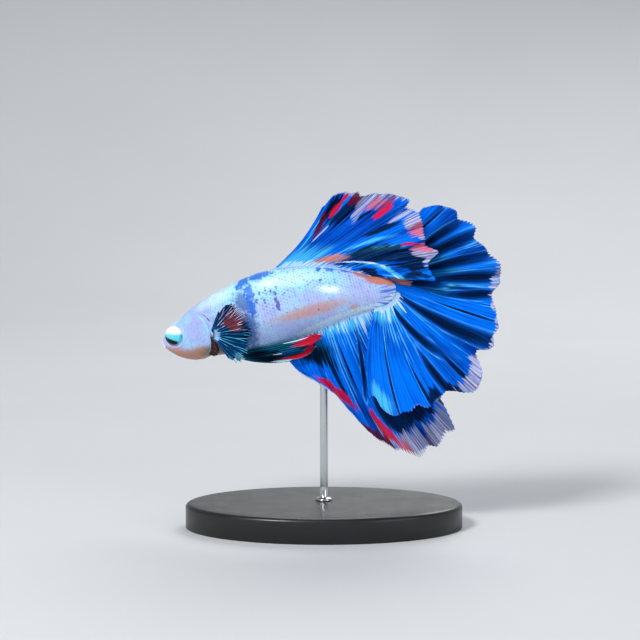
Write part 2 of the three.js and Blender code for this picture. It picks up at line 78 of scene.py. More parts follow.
def through(*points):
    """A smooth curve through points (x, y). Each stretch is the cubic whose slope at a point
    is the rise between that point's two neighbours; beyond the ends it stays level."""
    x, y = np.array(points, float).T
    slope = np.empty_like(y)
    slope[1:-1] = (y[2:] - y[:-2]) / (x[2:] - x[:-2])
    slope[0] = (y[1] - y[0]) / (x[1] - x[0])
    slope[-1] = (y[-1] - y[-2]) / (x[-1] - x[-2])

    def curve(at):
        at = np.clip(at, x[0], x[-1])
        i = np.clip(np.searchsorted(x, at) - 1, 0, len(x) - 2)
        width = x[i + 1] - x[i]
        t = (at - x[i]) / width
        start = (1 + 2 * t) * (1 - t) ** 2 * y[i] + t * (1 - t) ** 2 * width * slope[i]
        end = t * t * (3 - 2 * t) * y[i + 1] - t * t * (1 - t) * width * slope[i + 1]
        return start + end
    return curve


print("a curve through (0, 0), (1, 1), (2, 0) at 0.5:", through((0, 0), (1, 1), (2, 0))(0.5))

# %% The spine
BODY_LENGTH = 51.7          # mouth tip to the end of the tail stalk, along the spine
SNOUT = (-29.4, 11.3)       # x and y of the mouth tip
HEAD_YAW = 28               # degrees, the head looks away from the left
TRUNK_YAW = 6
HEAD_END = 14.9
BEND_END = 31
SPINE_STEP = 0.05


def heading(along):
    """The body's direction in radians away from +X: the head's yaw, easing to the trunk's
    over the bend, and from there to nothing at the tail."""
    front = mix(HEAD_YAW, TRUNK_YAW, smooth(along, HEAD_END, BEND_END))
    return np.radians(mix(front, 0, smooth(along, BEND_END, BODY_LENGTH)))


spine_s = np.arange(0, BODY_LENGTH + 2, SPINE_STEP)
turns = heading(spine_s[:-1] + SPINE_STEP / 2)
spine_x = SNOUT[0] + SPINE_STEP * np.concatenate([[0], np.cumsum(np.cos(turns))])
spine_y = SNOUT[1] - SPINE_STEP * np.concatenate([[0], np.cumsum(np.sin(turns))])


def along_at(x):
    """The distance along the spine at which it passes x."""
    return np.interp(x, spine_x, spine_s)


def body_point(along, side, up):
    """A place given along the spine, sideways from it (positive to the right) and up: the
    spine's point plus side steps along the horizontal normal."""
    turn = heading(along)
    x = np.interp(along, spine_s, spine_x) + np.sin(turn) * side
    y = np.interp(along, spine_s, spine_y) + np.cos(turn) * side
    return np.stack(np.broadcast_arrays(x, y, up), -1)


print("the tail stalk ends at", body_point(BODY_LENGTH, 0, 0).round(1), "mm")

# %% [markdown]
# ## The body's sections
#
# Each slice across the body is an oval with its own top, bottom, width and widest height. The
# four curves are the fish's profile from the side and from above; both ends close with a blunt
# quarter round, and the belly narrows to a keel where the long anal fin grows.

# %% Sections and the skin's place
back_line = through(
    (0, .4), (1, 1.15), (2.2, 1.95), (3.6, 2.75), (5, 3.4), (7.8, 4.65), (10.9, 5.9),
    (14, 6.85), (17, 7.5), (22.5, 8.65), (27.5, 9.05), (34.3, 8), (39.3, 6.6), (43.3, 5),
    (45.3, 4.05), (47.7, 2.7), (BODY_LENGTH, 2.4))
belly_line = through(
    (0, -1.7), (.9, -2.4), (1.9, -3.35), (3.5, -4.5), (5.4, -5.3), (7.5, -5.75), (10, -5.75),
    (13.5, -5.75), (18.8, -6.25), (22.8, -6.45), (29.3, -6), (34.3, -5), (39.3, -4.2),
    (45.3, -3.85), (BODY_LENGTH, -3.9))
flank_width = through(
    (0, 1.4), (1, 1.8), (2.4, 2.35), (4.2, 2.85), (8, 3.6), (11, 4.05), (14.3, 4.3),
    (19, 4.4), (26, 4.25), (32.3, 3.8), (38.3, 3), (44.3, 2.1), (48.3, 1.5),
    (BODY_LENGTH, 1.1))
widest_height = through((0, -.7), (7, -.1), (15, .9), (31, 1.6), (43, .4), (51, -.6))
SNOUT_ROUND = 1.5
STALK_ROUND = 4.1
KEEL = 0.3
KEEL_START = 16
KEEL_FULL = 31
FLANK_POWER = 0.88          # below 1, so a section is a little fuller than an ellipse


def blunt_end(distance, reach):
    """A quarter round from 0 to 1: the square root of 1 - (1 - d)^2, d the share of reach."""
    left = 1 - np.clip(distance / reach, 0, 1)
    return np.sqrt(1 - left * left)


def section(along):
    """Top, bottom, half width and widest height of the slice at a distance along the spine."""
    middle = widest_height(along)
    size = blunt_end(along, SNOUT_ROUND) * blunt_end(BODY_LENGTH - along, STALK_ROUND)
    top = middle + (back_line(along) - middle) * size
    bottom = middle + (belly_line(along) - middle) * size
    return top, bottom, flank_width(along) * size, middle


def oval(along, angle, out=0):
    """Sideways and up of the skin, for an angle round the slice (0 the right flank, 90
    degrees the back): half width times cos^0.88 and half height times sin, each with out."""
    top, bottom, half, middle = section(along)
    rise = np.sin(angle)
    lean = np.cos(angle)
    keel = np.where(rise < 0, 1 - KEEL * smooth(along, KEEL_START, KEEL_FULL) * rise ** 2, 1)
    high = np.where(rise > 0, top - middle, middle - bottom)
    side = np.sign(lean) * np.abs(lean) ** FLANK_POWER * (half * keel + out)
    return side, middle + rise * (high + out)


print("top, bottom, half width, middle at 25 mm:", [float(v.round(2)) for v in section(25.0)])

# %% From the fish's axes to the frame
PITCH = math.radians(14.5)
FISH_PLACE = (-4.8, 44.4)
MM = 0.001


def to_frame(points):
    """Millimetres in the fish's level axes to metres in the frame: pitched nose down about
    +Y, then moved to the fish's place over the stand."""
    x, y, z = np.moveaxis(np.asarray(points, float), -1, 0)
    across = FISH_PLACE[0] + x * math.cos(PITCH) - z * math.sin(PITCH)
    up = FISH_PLACE[1] + x * math.sin(PITCH) + z * math.cos(PITCH)
    return np.stack([across, y, up], -1) * MM


print("the mouth is at", to_frame(body_point(0, 0, 0)).round(4), "m")

# %% [markdown]
# ## Meshes and finishes
#
# Every new piece is a grid of points, most often a tube of rings closed by two poles. One
# function turns grids into a mesh, stores the fields that its finish reads, and gives it a flat
# map named OFBake, on which its colours can be baked. Closed pieces whose faces came out
# pointing inwards are turned there too, so no other function has to watch its winding.
#
# One small class builds finishes: it lets a socket be added and multiplied like a number, so a
# pattern reads as a sum instead of a heap of node calls.

# %% Faces of grids and tubes
def grid_faces(rows, columns, wrap=False, first=0):
    """Quads of a grid stored row by row; with wrap the last column joins the first."""
    row, column = np.mgrid[0:rows - 1, 0:columns if wrap else columns - 1]
    beside = (column + 1) % columns
    corners = (row * columns + column, row * columns + beside,
               (row + 1) * columns + beside, (row + 1) * columns + column)
    return first + np.stack([corner.ravel() for corner in corners], -1)


def fan_faces(pole, ring, turned=False):
    """Triangles from a pole to each stretch of a closed ring of points."""
    ahead = np.roll(ring, -1)
    around = (ring, ahead) if turned else (ahead, ring)
    return np.stack([np.full(len(ring), pole), *around], -1)


def closed_faces(rows, columns):
    """Faces of a tube of rings whose first and last pole are stored after the rings."""
    count = rows * columns
    ring = np.arange(columns)
    return [grid_faces(rows, columns, wrap=True), fan_faces(count, ring),
            fan_faces(count + 1, count - columns + ring, turned=True)]


def inside_out(points, faces):
    """Whether closed faces point inwards: the sum over corner pairs of middle . (a x b), with
    middle the face's average place from the mesh's own middle, is then negative."""
    places = points - points.mean(0)
    total = 0.0
    for part in faces:
        corner = places[part]
        turned_area = np.cross(corner, np.roll(corner, -1, axis=1)).sum(1)
        total += np.sum(corner.mean(1) * turned_area)
    return total < 0


print("a closed tube of 3 rings of 8:", sum(len(part) for part in closed_faces(3, 8)), "faces")

# %% Adding a piece to the scene
def add_piece(name, points, faces, uv, fields, finish, stands_for=(), to_place=to_frame):
    """A mesh object from points in millimetres, faces (lists of quads and of triangles), one
    UV per point or per face corner, and named values per point. to_place takes the points to
    metres in the frame."""
    mesh = bpy.data.meshes.new(name)
    per_corner = len(uv) != len(points)
    if inside_out(points, faces):
        if per_corner:
            cuts = np.cumsum([part.size for part in faces])[:-1]
            uv = np.concatenate([part.reshape(*face.shape, 2)[:, ::-1].reshape(-1, 2)
                                 for part, face in zip(np.split(uv, cuts), faces)])
        faces = [part[:, ::-1] for part in faces]
    corners = np.concatenate([part.ravel() for part in faces])
    sizes = np.concatenate([np.full(len(part), part.shape[1]) for part in faces])
    mesh.vertices.add(len(points))
    mesh.vertices.foreach_set("co", to_place(points).astype(np.float32).ravel())
    mesh.loops.add(len(corners))
    mesh.loops.foreach_set("vertex_index", corners.astype(np.int32))
    mesh.polygons.add(len(sizes))
    starts = np.concatenate([[0], np.cumsum(sizes)[:-1]])
    mesh.polygons.foreach_set("loop_start", starts.astype(np.int32))
    mesh.update(calc_edges=True)
    mesh.shade_smooth()
    places = uv if per_corner else uv[corners]
    layer = mesh.uv_layers.new(name="OFBake")
    layer.data.foreach_set("uv", places.astype(np.float32).ravel())
    for field, values in fields.items():
        kind = "FLOAT" if values.ndim == 1 else "FLOAT_VECTOR"
        stored = mesh.attributes.new(field, kind, "POINT").data
        key = "value" if values.ndim == 1 else "vector"
        stored.foreach_set(key, values.astype(np.float32).ravel())
    mesh.materials.append(finish)
    piece = bpy.data.objects.new(name, mesh)
    bpy.context.scene.collection.objects.link(piece)
    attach(piece, "root")
    if stands_for:
        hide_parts(*stands_for)
    print(f"{name}: {len(points)} points, {(sizes - 2).sum()} triangles")


print(len(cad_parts), "solids to dress")

# %% Sockets that add and multiply
def colour(text):
    """A colour written as six hex digits, taken from screen values to linear light."""
    screen = [int(text[i:i + 2], 16) / 255 for i in (0, 2, 4)]
    return tuple(c / 12.92 if c < 0.0405 else ((c + 0.055) / 1.055) ** 2.4
                 for c in screen) + (1,)


class Value:
    """A node's output that can be used in sums; every sum adds one Math node."""

    def __init__(self, finish, socket):
        self.finish = finish
        self.socket = socket

    def join(self, operation, first, second):
        """One Math node on two values, either of which may be a plain number."""
        return self.finish.node("Math", {"operation": operation}, {0: first, 1: second})

    def __add__(self, other):
        return self.join("ADD", self, other)

    def __sub__(self, other):
        return self.join("SUBTRACT", self, other)

    def __rsub__(self, other):
        return self.join("SUBTRACT", other, self)

    def __mul__(self, other):
        return self.join("MULTIPLY", self, other)

    def most(self, other):
        """The greater of the two."""
        return self.join("MAXIMUM", self, other)

    __radd__ = __add__
    __rmul__ = __mul__


print("azure in linear light:", [round(part, 3) for part in colour("0072f4")])

# %% Finishes
class Finish:
    """A material round one Principled shader. Constants go on the shader's own sockets."""

    def __init__(self, name, **constants):
        self.material = bpy.data.materials.new(name)
        self.material.use_nodes = True
        self.tree = self.material.node_tree
        self.shader = self.tree.nodes["Principled BSDF"]
        for key, value in constants.items():
            self.shader.inputs[key.replace("_", " ")].default_value = value

    def node(self, kind, settings, sockets, out=0):
        """Any node: its type, its settings, then the values or links of its sockets."""
        made = self.tree.nodes.new("ShaderNode" + kind)
        for key, value in settings.items():
            setattr(made, key, value)
        for key, value in sockets.items():
            self.put(made.inputs[key], value)
        return Value(self, made.outputs[out])

    def put(self, socket, value):
        """A link into a socket, or a constant on it."""
        if isinstance(value, Value):
            self.tree.links.new(value.socket, socket)
        else:
            socket.default_value = value

    def feed(self, **sockets):
        """What reaches the shader's own sockets, named with _ for a space."""
        for key, value in sockets.items():
            self.put(self.shader.inputs[key.replace("_", " ")], value)

    def field(self, name):
        """A number stored on the mesh."""
        return self.node("Attribute", {"attribute_name": name}, {}, "Fac")

    def vector(self, name):
        """Three numbers stored on the mesh."""
        return self.node("Attribute", {"attribute_name": name}, {}, "Vector")

    def parts(self, vector):
        """The first and the second number of a vector."""
        return [self.node("SeparateXYZ", {}, {"Vector": vector}, i) for i in (0, 1)]

    def here(self):
        """The point's place on the object, in metres."""
        return self.node("TexCoord", {}, {}, "Object")

    def stretched(self, vector, by):
        """A vector multiplied part by part, so that a noise on it is drawn out."""
        return self.node("VectorMath", {"operation": "MULTIPLY"}, {0: vector, 1: by})

    def noise(self, vector, scale=1.0, detail=2, roughness=0.5):
        """Cloudy values about 0.5."""
        return self.node("TexNoise", {}, {
            "Vector": vector, "Scale": scale, "Detail": detail, "Roughness": roughness}, "Fac")

    def step(self, value, low, high):
        """An S-shaped step from 0 at low to 1 at high, which may be the smaller of the two."""
        return self.node("MapRange", {"interpolation_type": "SMOOTHSTEP"}, {
            "Value": value, "From Min": low, "From Max": high})

    def blend(self, under, over, share):
        """One colour laid over another by a share from 0 to 1. A colour is a socket or text."""
        under, over = (colour(tint) if isinstance(tint, str) else tint for tint in (under, over))
        return self.node("Mix", {"data_type": "RGBA"}, {0: share, 6: under, 7: over}, 2)

    def lay(self, coat, layers, mark):
        """Marks laid over a colour one after another. A layer is the mark's name, its colour,
        its share, and how far and how softly its edge frays; mark makes the mask of those."""
        for name, tint, share, *edge in layers:
            coat = self.blend(coat, tint, mark(name, *edge) * share)
        return coat

    def bumps(self, height, distance):
        """A normal tilted by a height; distance is the height's size in metres."""
        return self.node("Bump", {}, {"Height": height, "Distance": distance})


print("a finish can", ", ".join(name for name in vars(Finish) if name[0] != "_"))

# %% [markdown]
# ## Floor, light and camera
#
# The floor is a pale shallow bowl: flat under the stand and rising to a wall far behind, so
# that it has no horizon from any side. Large area lights give soft studio light, the strongest
# from the upper left in front, where the scales should catch it. The camera looks square at
# the left flank from slightly above, through a long lens, so the fish keeps its proportions.

# %% Floor
FLOOR_FLAT = 0.44
FLOOR_CURVE = 0.4
WALL_TOP = 1.3

bend = np.radians(np.linspace(0, 90, 19))
radius = np.concatenate([[0.02, 0.3], FLOOR_FLAT + FLOOR_CURVE * np.sin(bend),
                         [FLOOR_FLAT + FLOOR_CURVE]])[:, None]
height = np.concatenate([[0, 0], FLOOR_CURVE * (1 - np.cos(bend)), [WALL_TOP]])[:, None]
spin = np.radians(np.arange(0, 360, 3))
bowl = np.stack(np.broadcast_arrays(radius * np.cos(spin), radius * np.sin(spin), height), -1)
floor_points = np.concatenate([bowl.reshape(-1, 3), [[0, 0, 0]]])
floor_faces = grid_faces(len(radius), len(spin), wrap=True)
hub = fan_faces(len(floor_points) - 1, np.arange(len(spin)), turned=True)
floor_mesh = bpy.data.meshes.new("floor")
floor_mesh.from_pydata(floor_points, [], [*floor_faces[:, ::-1].tolist(), *hub.tolist()])
floor_mesh.shade_smooth()
floor = bpy.data.objects.new("floor", floor_mesh)
bpy.context.scene.collection.objects.link(floor)
floor_paint = Finish("floor_paint", Roughness=0.85)
cloud = floor_paint.noise(floor_paint.here(), 9, 3)
floor_paint.feed(Base_Color=floor_paint.blend("c6c8cb", "cfd1d3", cloud))
floor_mesh.materials.append(floor_paint.material)
print("floor", len(floor_faces), "faces")

# %% Light
STAGE_MIDDLE = np.array([0, 0, 0.042])


def aimed(direction):
    """The turn that points -Z along a direction and keeps +Y up: pitch from the plumb line,
    then yaw about +Z."""
    x, y, z = direction / np.linalg.norm(direction)
    return (math.acos(-z), 0, math.atan2(-x, y))


def soft_light(name, place, size, power, tint=(1, 1, 1)):
    """A square area light aimed at the fish's middle."""
    lamp = bpy.data.lights.new(name, "AREA")
    lamp.shape = "SQUARE"
    lamp.size = size
    lamp.energy = power
    lamp.color = tint
    holder = bpy.data.objects.new(name, lamp)
    bpy.context.scene.collection.objects.link(holder)
    holder.location = place
    holder.rotation_euler = aimed(STAGE_MIDDLE - place)


soft_light("key", (-0.30, -0.42, 0.46), size=0.18, power=3.9)
soft_light("fill", (0.48, -0.44, 0.20), size=0.4, power=1.1, tint=(0.94, 0.97, 1))
soft_light("rim", (0.15, 0.50, 0.5), size=0.4, power=2.6)
world = bpy.data.worlds.new("studio")
world.use_nodes = True
sky = world.node_tree.nodes["Background"].inputs
sky["Color"].default_value = (0.9, 0.95, 1, 1)
sky["Strength"].default_value = 0.22
bpy.context.scene.world = world
bpy.context.scene.view_settings.view_transform = "Standard"
print("three soft lights and a pale sky")

# %% Camera
CAMERA_AIM = np.array([-0.0008, 0, 0.042])
CAMERA_RISE = math.radians(5)
CAMERA_AWAY = 0.4
lens = bpy.data.cameras.new("camera")
lens.lens = 112
lens.sensor_width = 36
lens.clip_start = 0.01
camera = bpy.data.objects.new("camera", lens)
bpy.context.scene.collection.objects.link(camera)
back = np.array([0, -math.cos(CAMERA_RISE), math.sin(CAMERA_RISE)])
camera.location = CAMERA_AIM + CAMERA_AWAY * back
camera.rotation_euler = aimed(-back)
bpy.context.scene.camera = camera
print("camera at", [round(v, 4) for v in camera.location])

# %% [markdown]
# ## The skin
#
# Under the scales a fish is one smooth skin from lips to tail, so the head, jaw, gill covers,
# trunk and stalk become a single loft. It could be sculpted, but everything that stands out
# from the oval sections is small and known: lips round the mouth's slit, a pit for each eye
# with a rim, the gill cover's raised rear edge, nostrils and fin bases. So the relief is one
# function of the distance along the fish and the height, added outwards. The skin lies a
# little inside the solids, which leaves room for the scales.

# %% Landmarks on the head
EYE = {"along": 4.46, "out": 2.0, "up": 0.38, "long": 2.38, "high": 2.05, "depth": 1.4}
GILL = {"along": 10.9, "up": -0.7, "long": 3.3, "high": 4.3, "slant": 0.6}
MOUTH_FRONT = (-0.2, -0.35)
MOUTH_CORNER = (1.75, -1.75)
NOSTRILS = ((1.35, 1.0), (2.05, 1.75))
PECTORAL = {"along": 15.1, "up": -0.6, "clear": 0.75, "root": 0.9, "left": 5, "right": -26}
SKIN_DEPTH = 0.12


def gill_reach(along, up):
    """How far out in the gill cover's slanted oval a place is: 0 its middle, 1 its rim. With
    it, the place's direction as an angle, 0 towards the tail."""
    c = (along - GILL["along"]) / GILL["long"]
    s = (up - GILL["up"] - GILL["slant"] * c) / GILL["high"]
    return np.hypot(c, s), np.arctan2(s, c)


def eye_reach(along, up):
    """Distance from the eye's middle: millimetres upwards, a little more lengthwise."""
    return np.hypot((along - EYE["along"]) * EYE["high"] / EYE["long"], up - EYE["up"])


def off_line(along, up, start, end):
    """Distance from the stretch between two places."""
    start = np.array(start, float)
    way = np.array(end, float) - start
    share = ((along - start[0]) * way[0] + (up - start[1]) * way[1]) / (way @ way)
    share = np.clip(share, 0, 1)
    return np.hypot(along - start[0] - share * way[0], up - start[1] - share * way[1])


def relief(along, up):
    """Outward height of the skin's own forms, in millimetres, as a sum of soft hills and
    grooves: gill cover, cheek, eye pit and rim, mouth and lips, nostrils, fin bases."""
    reach, way = gill_reach(along, up)
    rear = smooth(np.cos(way), -0.25, 0.35)
    raised = 0.24 * smooth(reach, 0.5, 0.96) * (1 - smooth(reach, 0.985, 1.03)) * rear
    gap = -0.3 * bump(reach, 1.07, 0.09) * rear
    hollow = -0.30 * bump(reach, 1.16, 0.22) * smooth(-way, 0.25, 0.7) * smooth(-way, 2.1, 1.5)
    cheek = -0.07 * bump(off_line(along, up, (7.9, 2.0), (7.2, -3.8)), 0, 0.55)
    from_eye = eye_reach(along, up)
    rim = 0.14 * bump(from_eye, 2.5, 0.4)
    pit = -1.4 * (1 - smooth(from_eye, 1.95, 2.25))
    slit = off_line(along, up, MOUTH_FRONT, MOUTH_CORNER)
    mouth = -0.42 * bump(slit, 0, 0.19) + 0.2 * bump(slit, 0.36, 0.3)
    holes = sum(-0.3 * bump(np.hypot(along - a, up - h), 0, 0.24) for a, h in NOSTRILS)
    pad = 0.55 * bump(np.hypot(along - PECTORAL["along"], up - PECTORAL["up"]), 0, 1.5)
    ribs = 0.05 * np.sin(reach * 26) * smooth(up, -4.2, -5.0) * bump(along, 8, 4)
    return raised + gap + hollow + cheek + rim + pit + mouth + holes + pad + ribs


def skin_point(along, angle, out=0.0):
    """The skin's place: the oval grown by the relief and by out."""
    height = oval(along, angle)[1]
    return body_point(along, *oval(along, angle, relief(along, height) + out))


print("gill cover's rim at", gill_reach(14.2, -0.1)[0].round(2))

# %% [markdown]
# ## The markings
#
# The breed is a marble: pearl lavender turning mint along the back, with blue patches, a warm
# face, and bare salmon places near the tail. Skin and scales have to carry the same marks, so
# the marks are soft fields computed from the place on the body and stored on every point. The
# finish then frays their edges with noise. Some of the marks are painted light: highlights on
# the flank, back, nape and forehead, painted shade on the lower belly, low on the gill cover and
# in the face's creases and holes, and painted shadow of the pectoral fin mixed with blue behind
# it.

# %% Soft blobs
def blob(along, up, at_along, at_up, half_long, half_high, turn=0):
    """A soft oval mark: 1 in the middle, 0.5 on its outline, fading to 0 outside. turn is in
    degrees, from lengthwise to upwards."""
    c, s = math.cos(math.radians(turn)), math.sin(math.radians(turn))
    a = ((along - at_along) * c + (up - at_up) * s) / half_long
    b = ((up - at_up) * c - (along - at_along) * s) / half_high
    return np.clip(1.25 - 0.75 * np.hypot(a, b), 0, 1)


def strongest(*masks):
    """The greatest of some masks, point by point."""
    return np.maximum.reduce(masks)


print("a blob on its outline:", blob(1.0, 0.0, 0, 0, 1, 1))

# %% Fields of colour on the body
# Every row is a blob: where it is along and up the body, its half length and half height in
# millimetres, and its turn.
BODY_MARKS = {
    "blue": [(22.4, 7.9, 0.9, 1.4, -50), (23.8, 5.6, 0.9, 2.1, 6), (23.8, 2.6, 0.7, 1.8),
             (26, 8.5, 2.3, 0.6, 2), (37.6, 6.9, 0.5, 0.45), (39.8, 6.35, 1, 0.45, -22),
             (42.6, 5.3, 1.3, 0.3, -25)],
    # Partly painted shadow of the pectoral fin on the flank, partly a blue marking.
    "shade": [(22.2, -1.6, 1.5, 4.4, -10), (22.4, 4.2, 1.5, 2.2, 20)],
    "violet": [(25.7, 5.2, 0.2, 0.5), (26.85, 5.6, 0.2, 0.45), (27.8, 5, 0.2, 0.5),
               (28.9, 5.5, 0.2, 0.6, 5), (28.5, 4.4, 0.25, 0.7, 8), (28.35, 3.1, 0.28, 0.8),
               (28.5, 1.9, 0.42, 0.9, -10), (24.9, 3.7, 0.2, 0.5), (26.3, 3.3, 0.15, 0.5),
               (30.2, 4, 0.25, 0.22), (37.6, 4.7, 0.3, 0.35), (35.9, -0.9, 0.25, 0.22),
               (29.8, 0, 0.2, 0.2), (18.6, 3.5, 0.3, 0.2)],
    "peach": [(34.4, -0.75, 6.6, 1.15, 1), (4, -4.6, 5, 1.7, -24), (9.2, -5.1, 3.6, 1.35),
              (43, -2.6, 1.3, 0.6, -28), (2, -2.8, 2, 1.2, -40), (4, -3, 2, 1.2, -8)],
    "salmon": [(45.4, 3.9, 1.7, 0.55, -32), (48.1, 2.1, 2.4, 1, -30), (50.5, 0.9, 1.3, 0.8, -24)],
    # Painted highlights on the flank, the back, the nape and the forehead.
    "gloss": [(38.8, 2.5, 2.4, 0.9, -20), (33, 6.4, 5, 1.5, -6), (16, 6.2, 4.5, 1.2, 12),
              (5, 3.6, 4.6, 0.9, 38)],
    # Painted shade in the creases at the gill cover's upper rear edge.
    "dark": [(14.5, 2.35, 0.62, 0.13, -58), (13.7, 3.25, 0.5, 0.08, -38)],
    "maroon": [(15.1, -4.7, 2.3, 2.1, -25)],
    # Painted shade low on the gill cover's rear.
    "olive": [(12.2, -4.5, 2.4, 1.3, 24)],
    "freckled": [(35.5, 6.2, 10.5, 2.6, -16), (28.5, 4, 3.5, 3.5)],
    # A painted highlight on the middle of the flank.
    "shine": [(38.9, 2.5, 2, 0.6, -22)],
    # Painted shade on the lower belly.
    "dim": [(28.5, -3.2, 6.5, 2.2)]}


def body_fields(along, up):
    """Every mark's field at places on the body: the blobs, then the marks that follow its
    forms, and two vectors on which streaks are drawn. Streaks of "streak" run up the flank,
    those of "fan" spread from a point inside the tail stalk."""
    fields = {name: strongest(*(blob(along, up, *row) for row in rows))
              for name, rows in BODY_MARKS.items()}
    top, bottom, _, middle = section(along)
    high = (up - middle) / np.maximum(top - middle, 0.3)
    fields["mint"] = smooth(high, -0.15, 0.7) * smooth(along, 8, 27) * smooth(along, 46, 38)
    reach, way = gill_reach(along, up)
    edge = bump(reach, 0.96, 0.08) * smooth(np.cos(way), 0.0, 0.6)
    fields["cyan"] = strongest(edge, 0.7 * smooth(-high, 0.8, 1.0) * smooth(along, 14, 18))
    low = (middle - up) / np.maximum(middle - bottom, 0.3)
    fields["jaw"] = smooth(low, 0.3, 0.75) * smooth(along, 0.3, 1.5) * smooth(along, 13.6, 11)
    # The mouth's slit, the groove behind the gill cover and the nostrils are added to the dark
    # mark as painted shade.
    slit = off_line(along, up, MOUTH_FRONT, MOUTH_CORNER)
    gap = bump(reach, 1.075, 0.06) * smooth(-way, 0.1, 0.9) * smooth(-way, 2.1, 1.5)
    holes = strongest(*(bump(np.hypot(along - a, up - h), 0, 0.26) for a, h in NOSTRILS))
    fields["dark"] = strongest(fields["dark"], bump(slit, 0, 0.17), 0.75 * gap, holes)
    fields["lip"] = bump(slit, 0.3, 0.5) * smooth(along, 1.6, 0.6)
    fields["hem"] = smooth(up - bottom, 2.3, 0.4) * smooth(along, 26, 33)
    fields["streak"] = np.stack([along * 3.0 + up * 0.8, up * 0.4 - along * 0.1, 0 * up], -1)
    fields["frayed"] = smooth(along - 0.7 * up, 45.5, 50.5)
    fields["fan"] = np.stack([9 * np.arctan2(up, along - 40), 0.1 * along, 0 * up], -1)
    return fields


def flat_fields(fields):
    """The same fields as plain lists of points."""
    return {name: values.reshape(-1, 3) if name in ("streak", "fan") else values.ravel()
            for name, values in fields.items()}


print(len(BODY_MARKS), "marks of", sum(len(rows) for rows in BODY_MARKS.values()), "blobs")

# %% The finish of skin and scales
# A layer: mark, colour, share, how far its edge frays, how soft it is.
# Among these, the first two are painted highlights, the third is painted shade on the lower
# belly, the olive-brown one is painted shade low on the gill cover, and the dark blue one behind
# the pectoral fin is partly its painted shadow and partly a blue marking.
UNDER_LAYERS = (
    ("gloss", "e0fffc", 0.45, 0.9, 0.45), ("shine", "f6ffff", 0.7, 0.5, 0.45),
    ("dim", "7c9cd0", 0.45, 0.9, 0.45), ("peach", "c58e7e", 0.75, 0.6, 0.4),
    ("jaw", "ac7450", 0.88, 0.5, 0.4), ("olive", "565040", 0.85, 0.5, 0.5),
    ("cyan", "7fe9f7", 0.6, 0.5, 0.4), ("shade", "2c5cae", 0.8, 1.4, 0.35),
    ("blue", "0068d6", 0.92, 1.9, 0.2), ("violet", "4a3cae", 0.85, 1.2, 0.1),
    ("maroon", "4a1a1c", 0.9, 0.8, 0.3))
UPPER_LAYERS = (("salmon", "c47460", 0.95, 0.5, 0.2), ("lip", "f4f6ff", 0.9, 0.3, 0.3))


def body_finish(name, speckle, scaled=False, **constants):
    """Pearl skin: the marks laid over one another, each frayed by noise, among them painted
    highlights and painted shade. Light streaks run up from the anal fin's base, azure ones fan
    out over the tail stalk's end, dark pigment specks lie over all, as strong as speckle, and
    painted shade in the face's creases and holes comes last. On scales the pearl also changes
    from scale to scale and from painted shade at the root to a painted highlight on the free
    edge, and freckled ones carry a dot."""
    paint = Finish(name, **constants)
    here = paint.here()
    broad = paint.noise(here, 260, 3)
    fray = paint.noise(here, 1500, 3, 0.6) - 0.5
    fine = paint.noise(here, 4200, 2, 0.6)

    def mark(field, spread, soft):
        return paint.step(paint.field(field) + fray * spread, 0.5 - soft, 0.5 + soft)

    coat = paint.blend("a2b0ea", "9ccaf2", paint.step(broad, 0.38, 0.64))
    coat = paint.blend(coat, "c3bdea", paint.step(fine, 0.5, 0.68) * 0.5)
    coat = paint.blend(coat, "8fe2ee", mark("mint", 1.0, 0.45) * 0.85)
    if scaled:
        tone = paint.field("tone")
        edge = paint.field("edge")
        coat = paint.blend(coat, "7e94e2", paint.step(tone, 0.5, 1.0) * 0.5)
        # Painted highlight on each scale's free edge, then painted shade at its root, which the
        # scale in front covers.
        coat = paint.blend(coat, "ecfcff", paint.step(edge, 0.3, 0.9) * 0.45)
        root = paint.step(edge + tone * 0.5, 0.25, -0.3)
        coat = paint.blend(coat, "5a7ad2", root * 0.55)
    coat = paint.lay(coat, UNDER_LAYERS, mark)
    hem = paint.field("hem")
    up_flank = (paint.noise(paint.vector("streak"), 1.0, 2, 0.6) - 0.5) * 1.5
    drawn = paint.step(hem + up_flank, 0.4, 0.8) * paint.step(hem, 0.02, 0.2)
    coat = paint.blend(coat, "d2eeff", drawn * 0.7)
    frayed = paint.field("frayed")
    fan = (paint.noise(paint.vector("fan"), 1.0, 2, 0.6) - 0.5) * 2.4
    spikes = paint.step(frayed * 0.45 + fan, 0.36, 0.54) * paint.step(frayed, 0.02, 0.3)
    coat = paint.blend(coat, "0064e0", spikes * 0.9)
    coat = paint.lay(coat, UPPER_LAYERS, mark)
    if scaled:
        dots = paint.step(paint.field("dot") + tone * 0.5, 0.62, 0.9)
        coat = paint.blend(coat, "4262c0", dots * mark("freckled", 1.2, 0.4) * 0.6)
    cells = paint.node("TexVoronoi", {}, {"Vector": here, "Scale": 1900.0}, "Distance")
    specks = paint.step(cells, 0.30, 0.16) * paint.step(broad, 0.46, 0.6)
    coat = paint.blend(coat, "5c6fbf", specks * speckle)
    # Painted shade in the creases and holes of the face, over everything else.
    coat = paint.blend(coat, "2b1418", mark("dark", 0.4, 0.25) * 0.95)
    return paint, coat, fine


print(len(UNDER_LAYERS) + len(UPPER_LAYERS), "marks are plain layers")

# %% The finish of the skin
skin_paint, skin_coat, skin_fine = body_finish(
    "wet_skin", 0.3, Roughness=0.32, Coat_Weight=0.3, Coat_Roughness=0.12)
skin_paint.feed(Base_Color=skin_coat, Normal=skin_paint.bumps(skin_fine, 0.00006))
print("skin finish has", len(skin_paint.tree.nodes), "nodes")

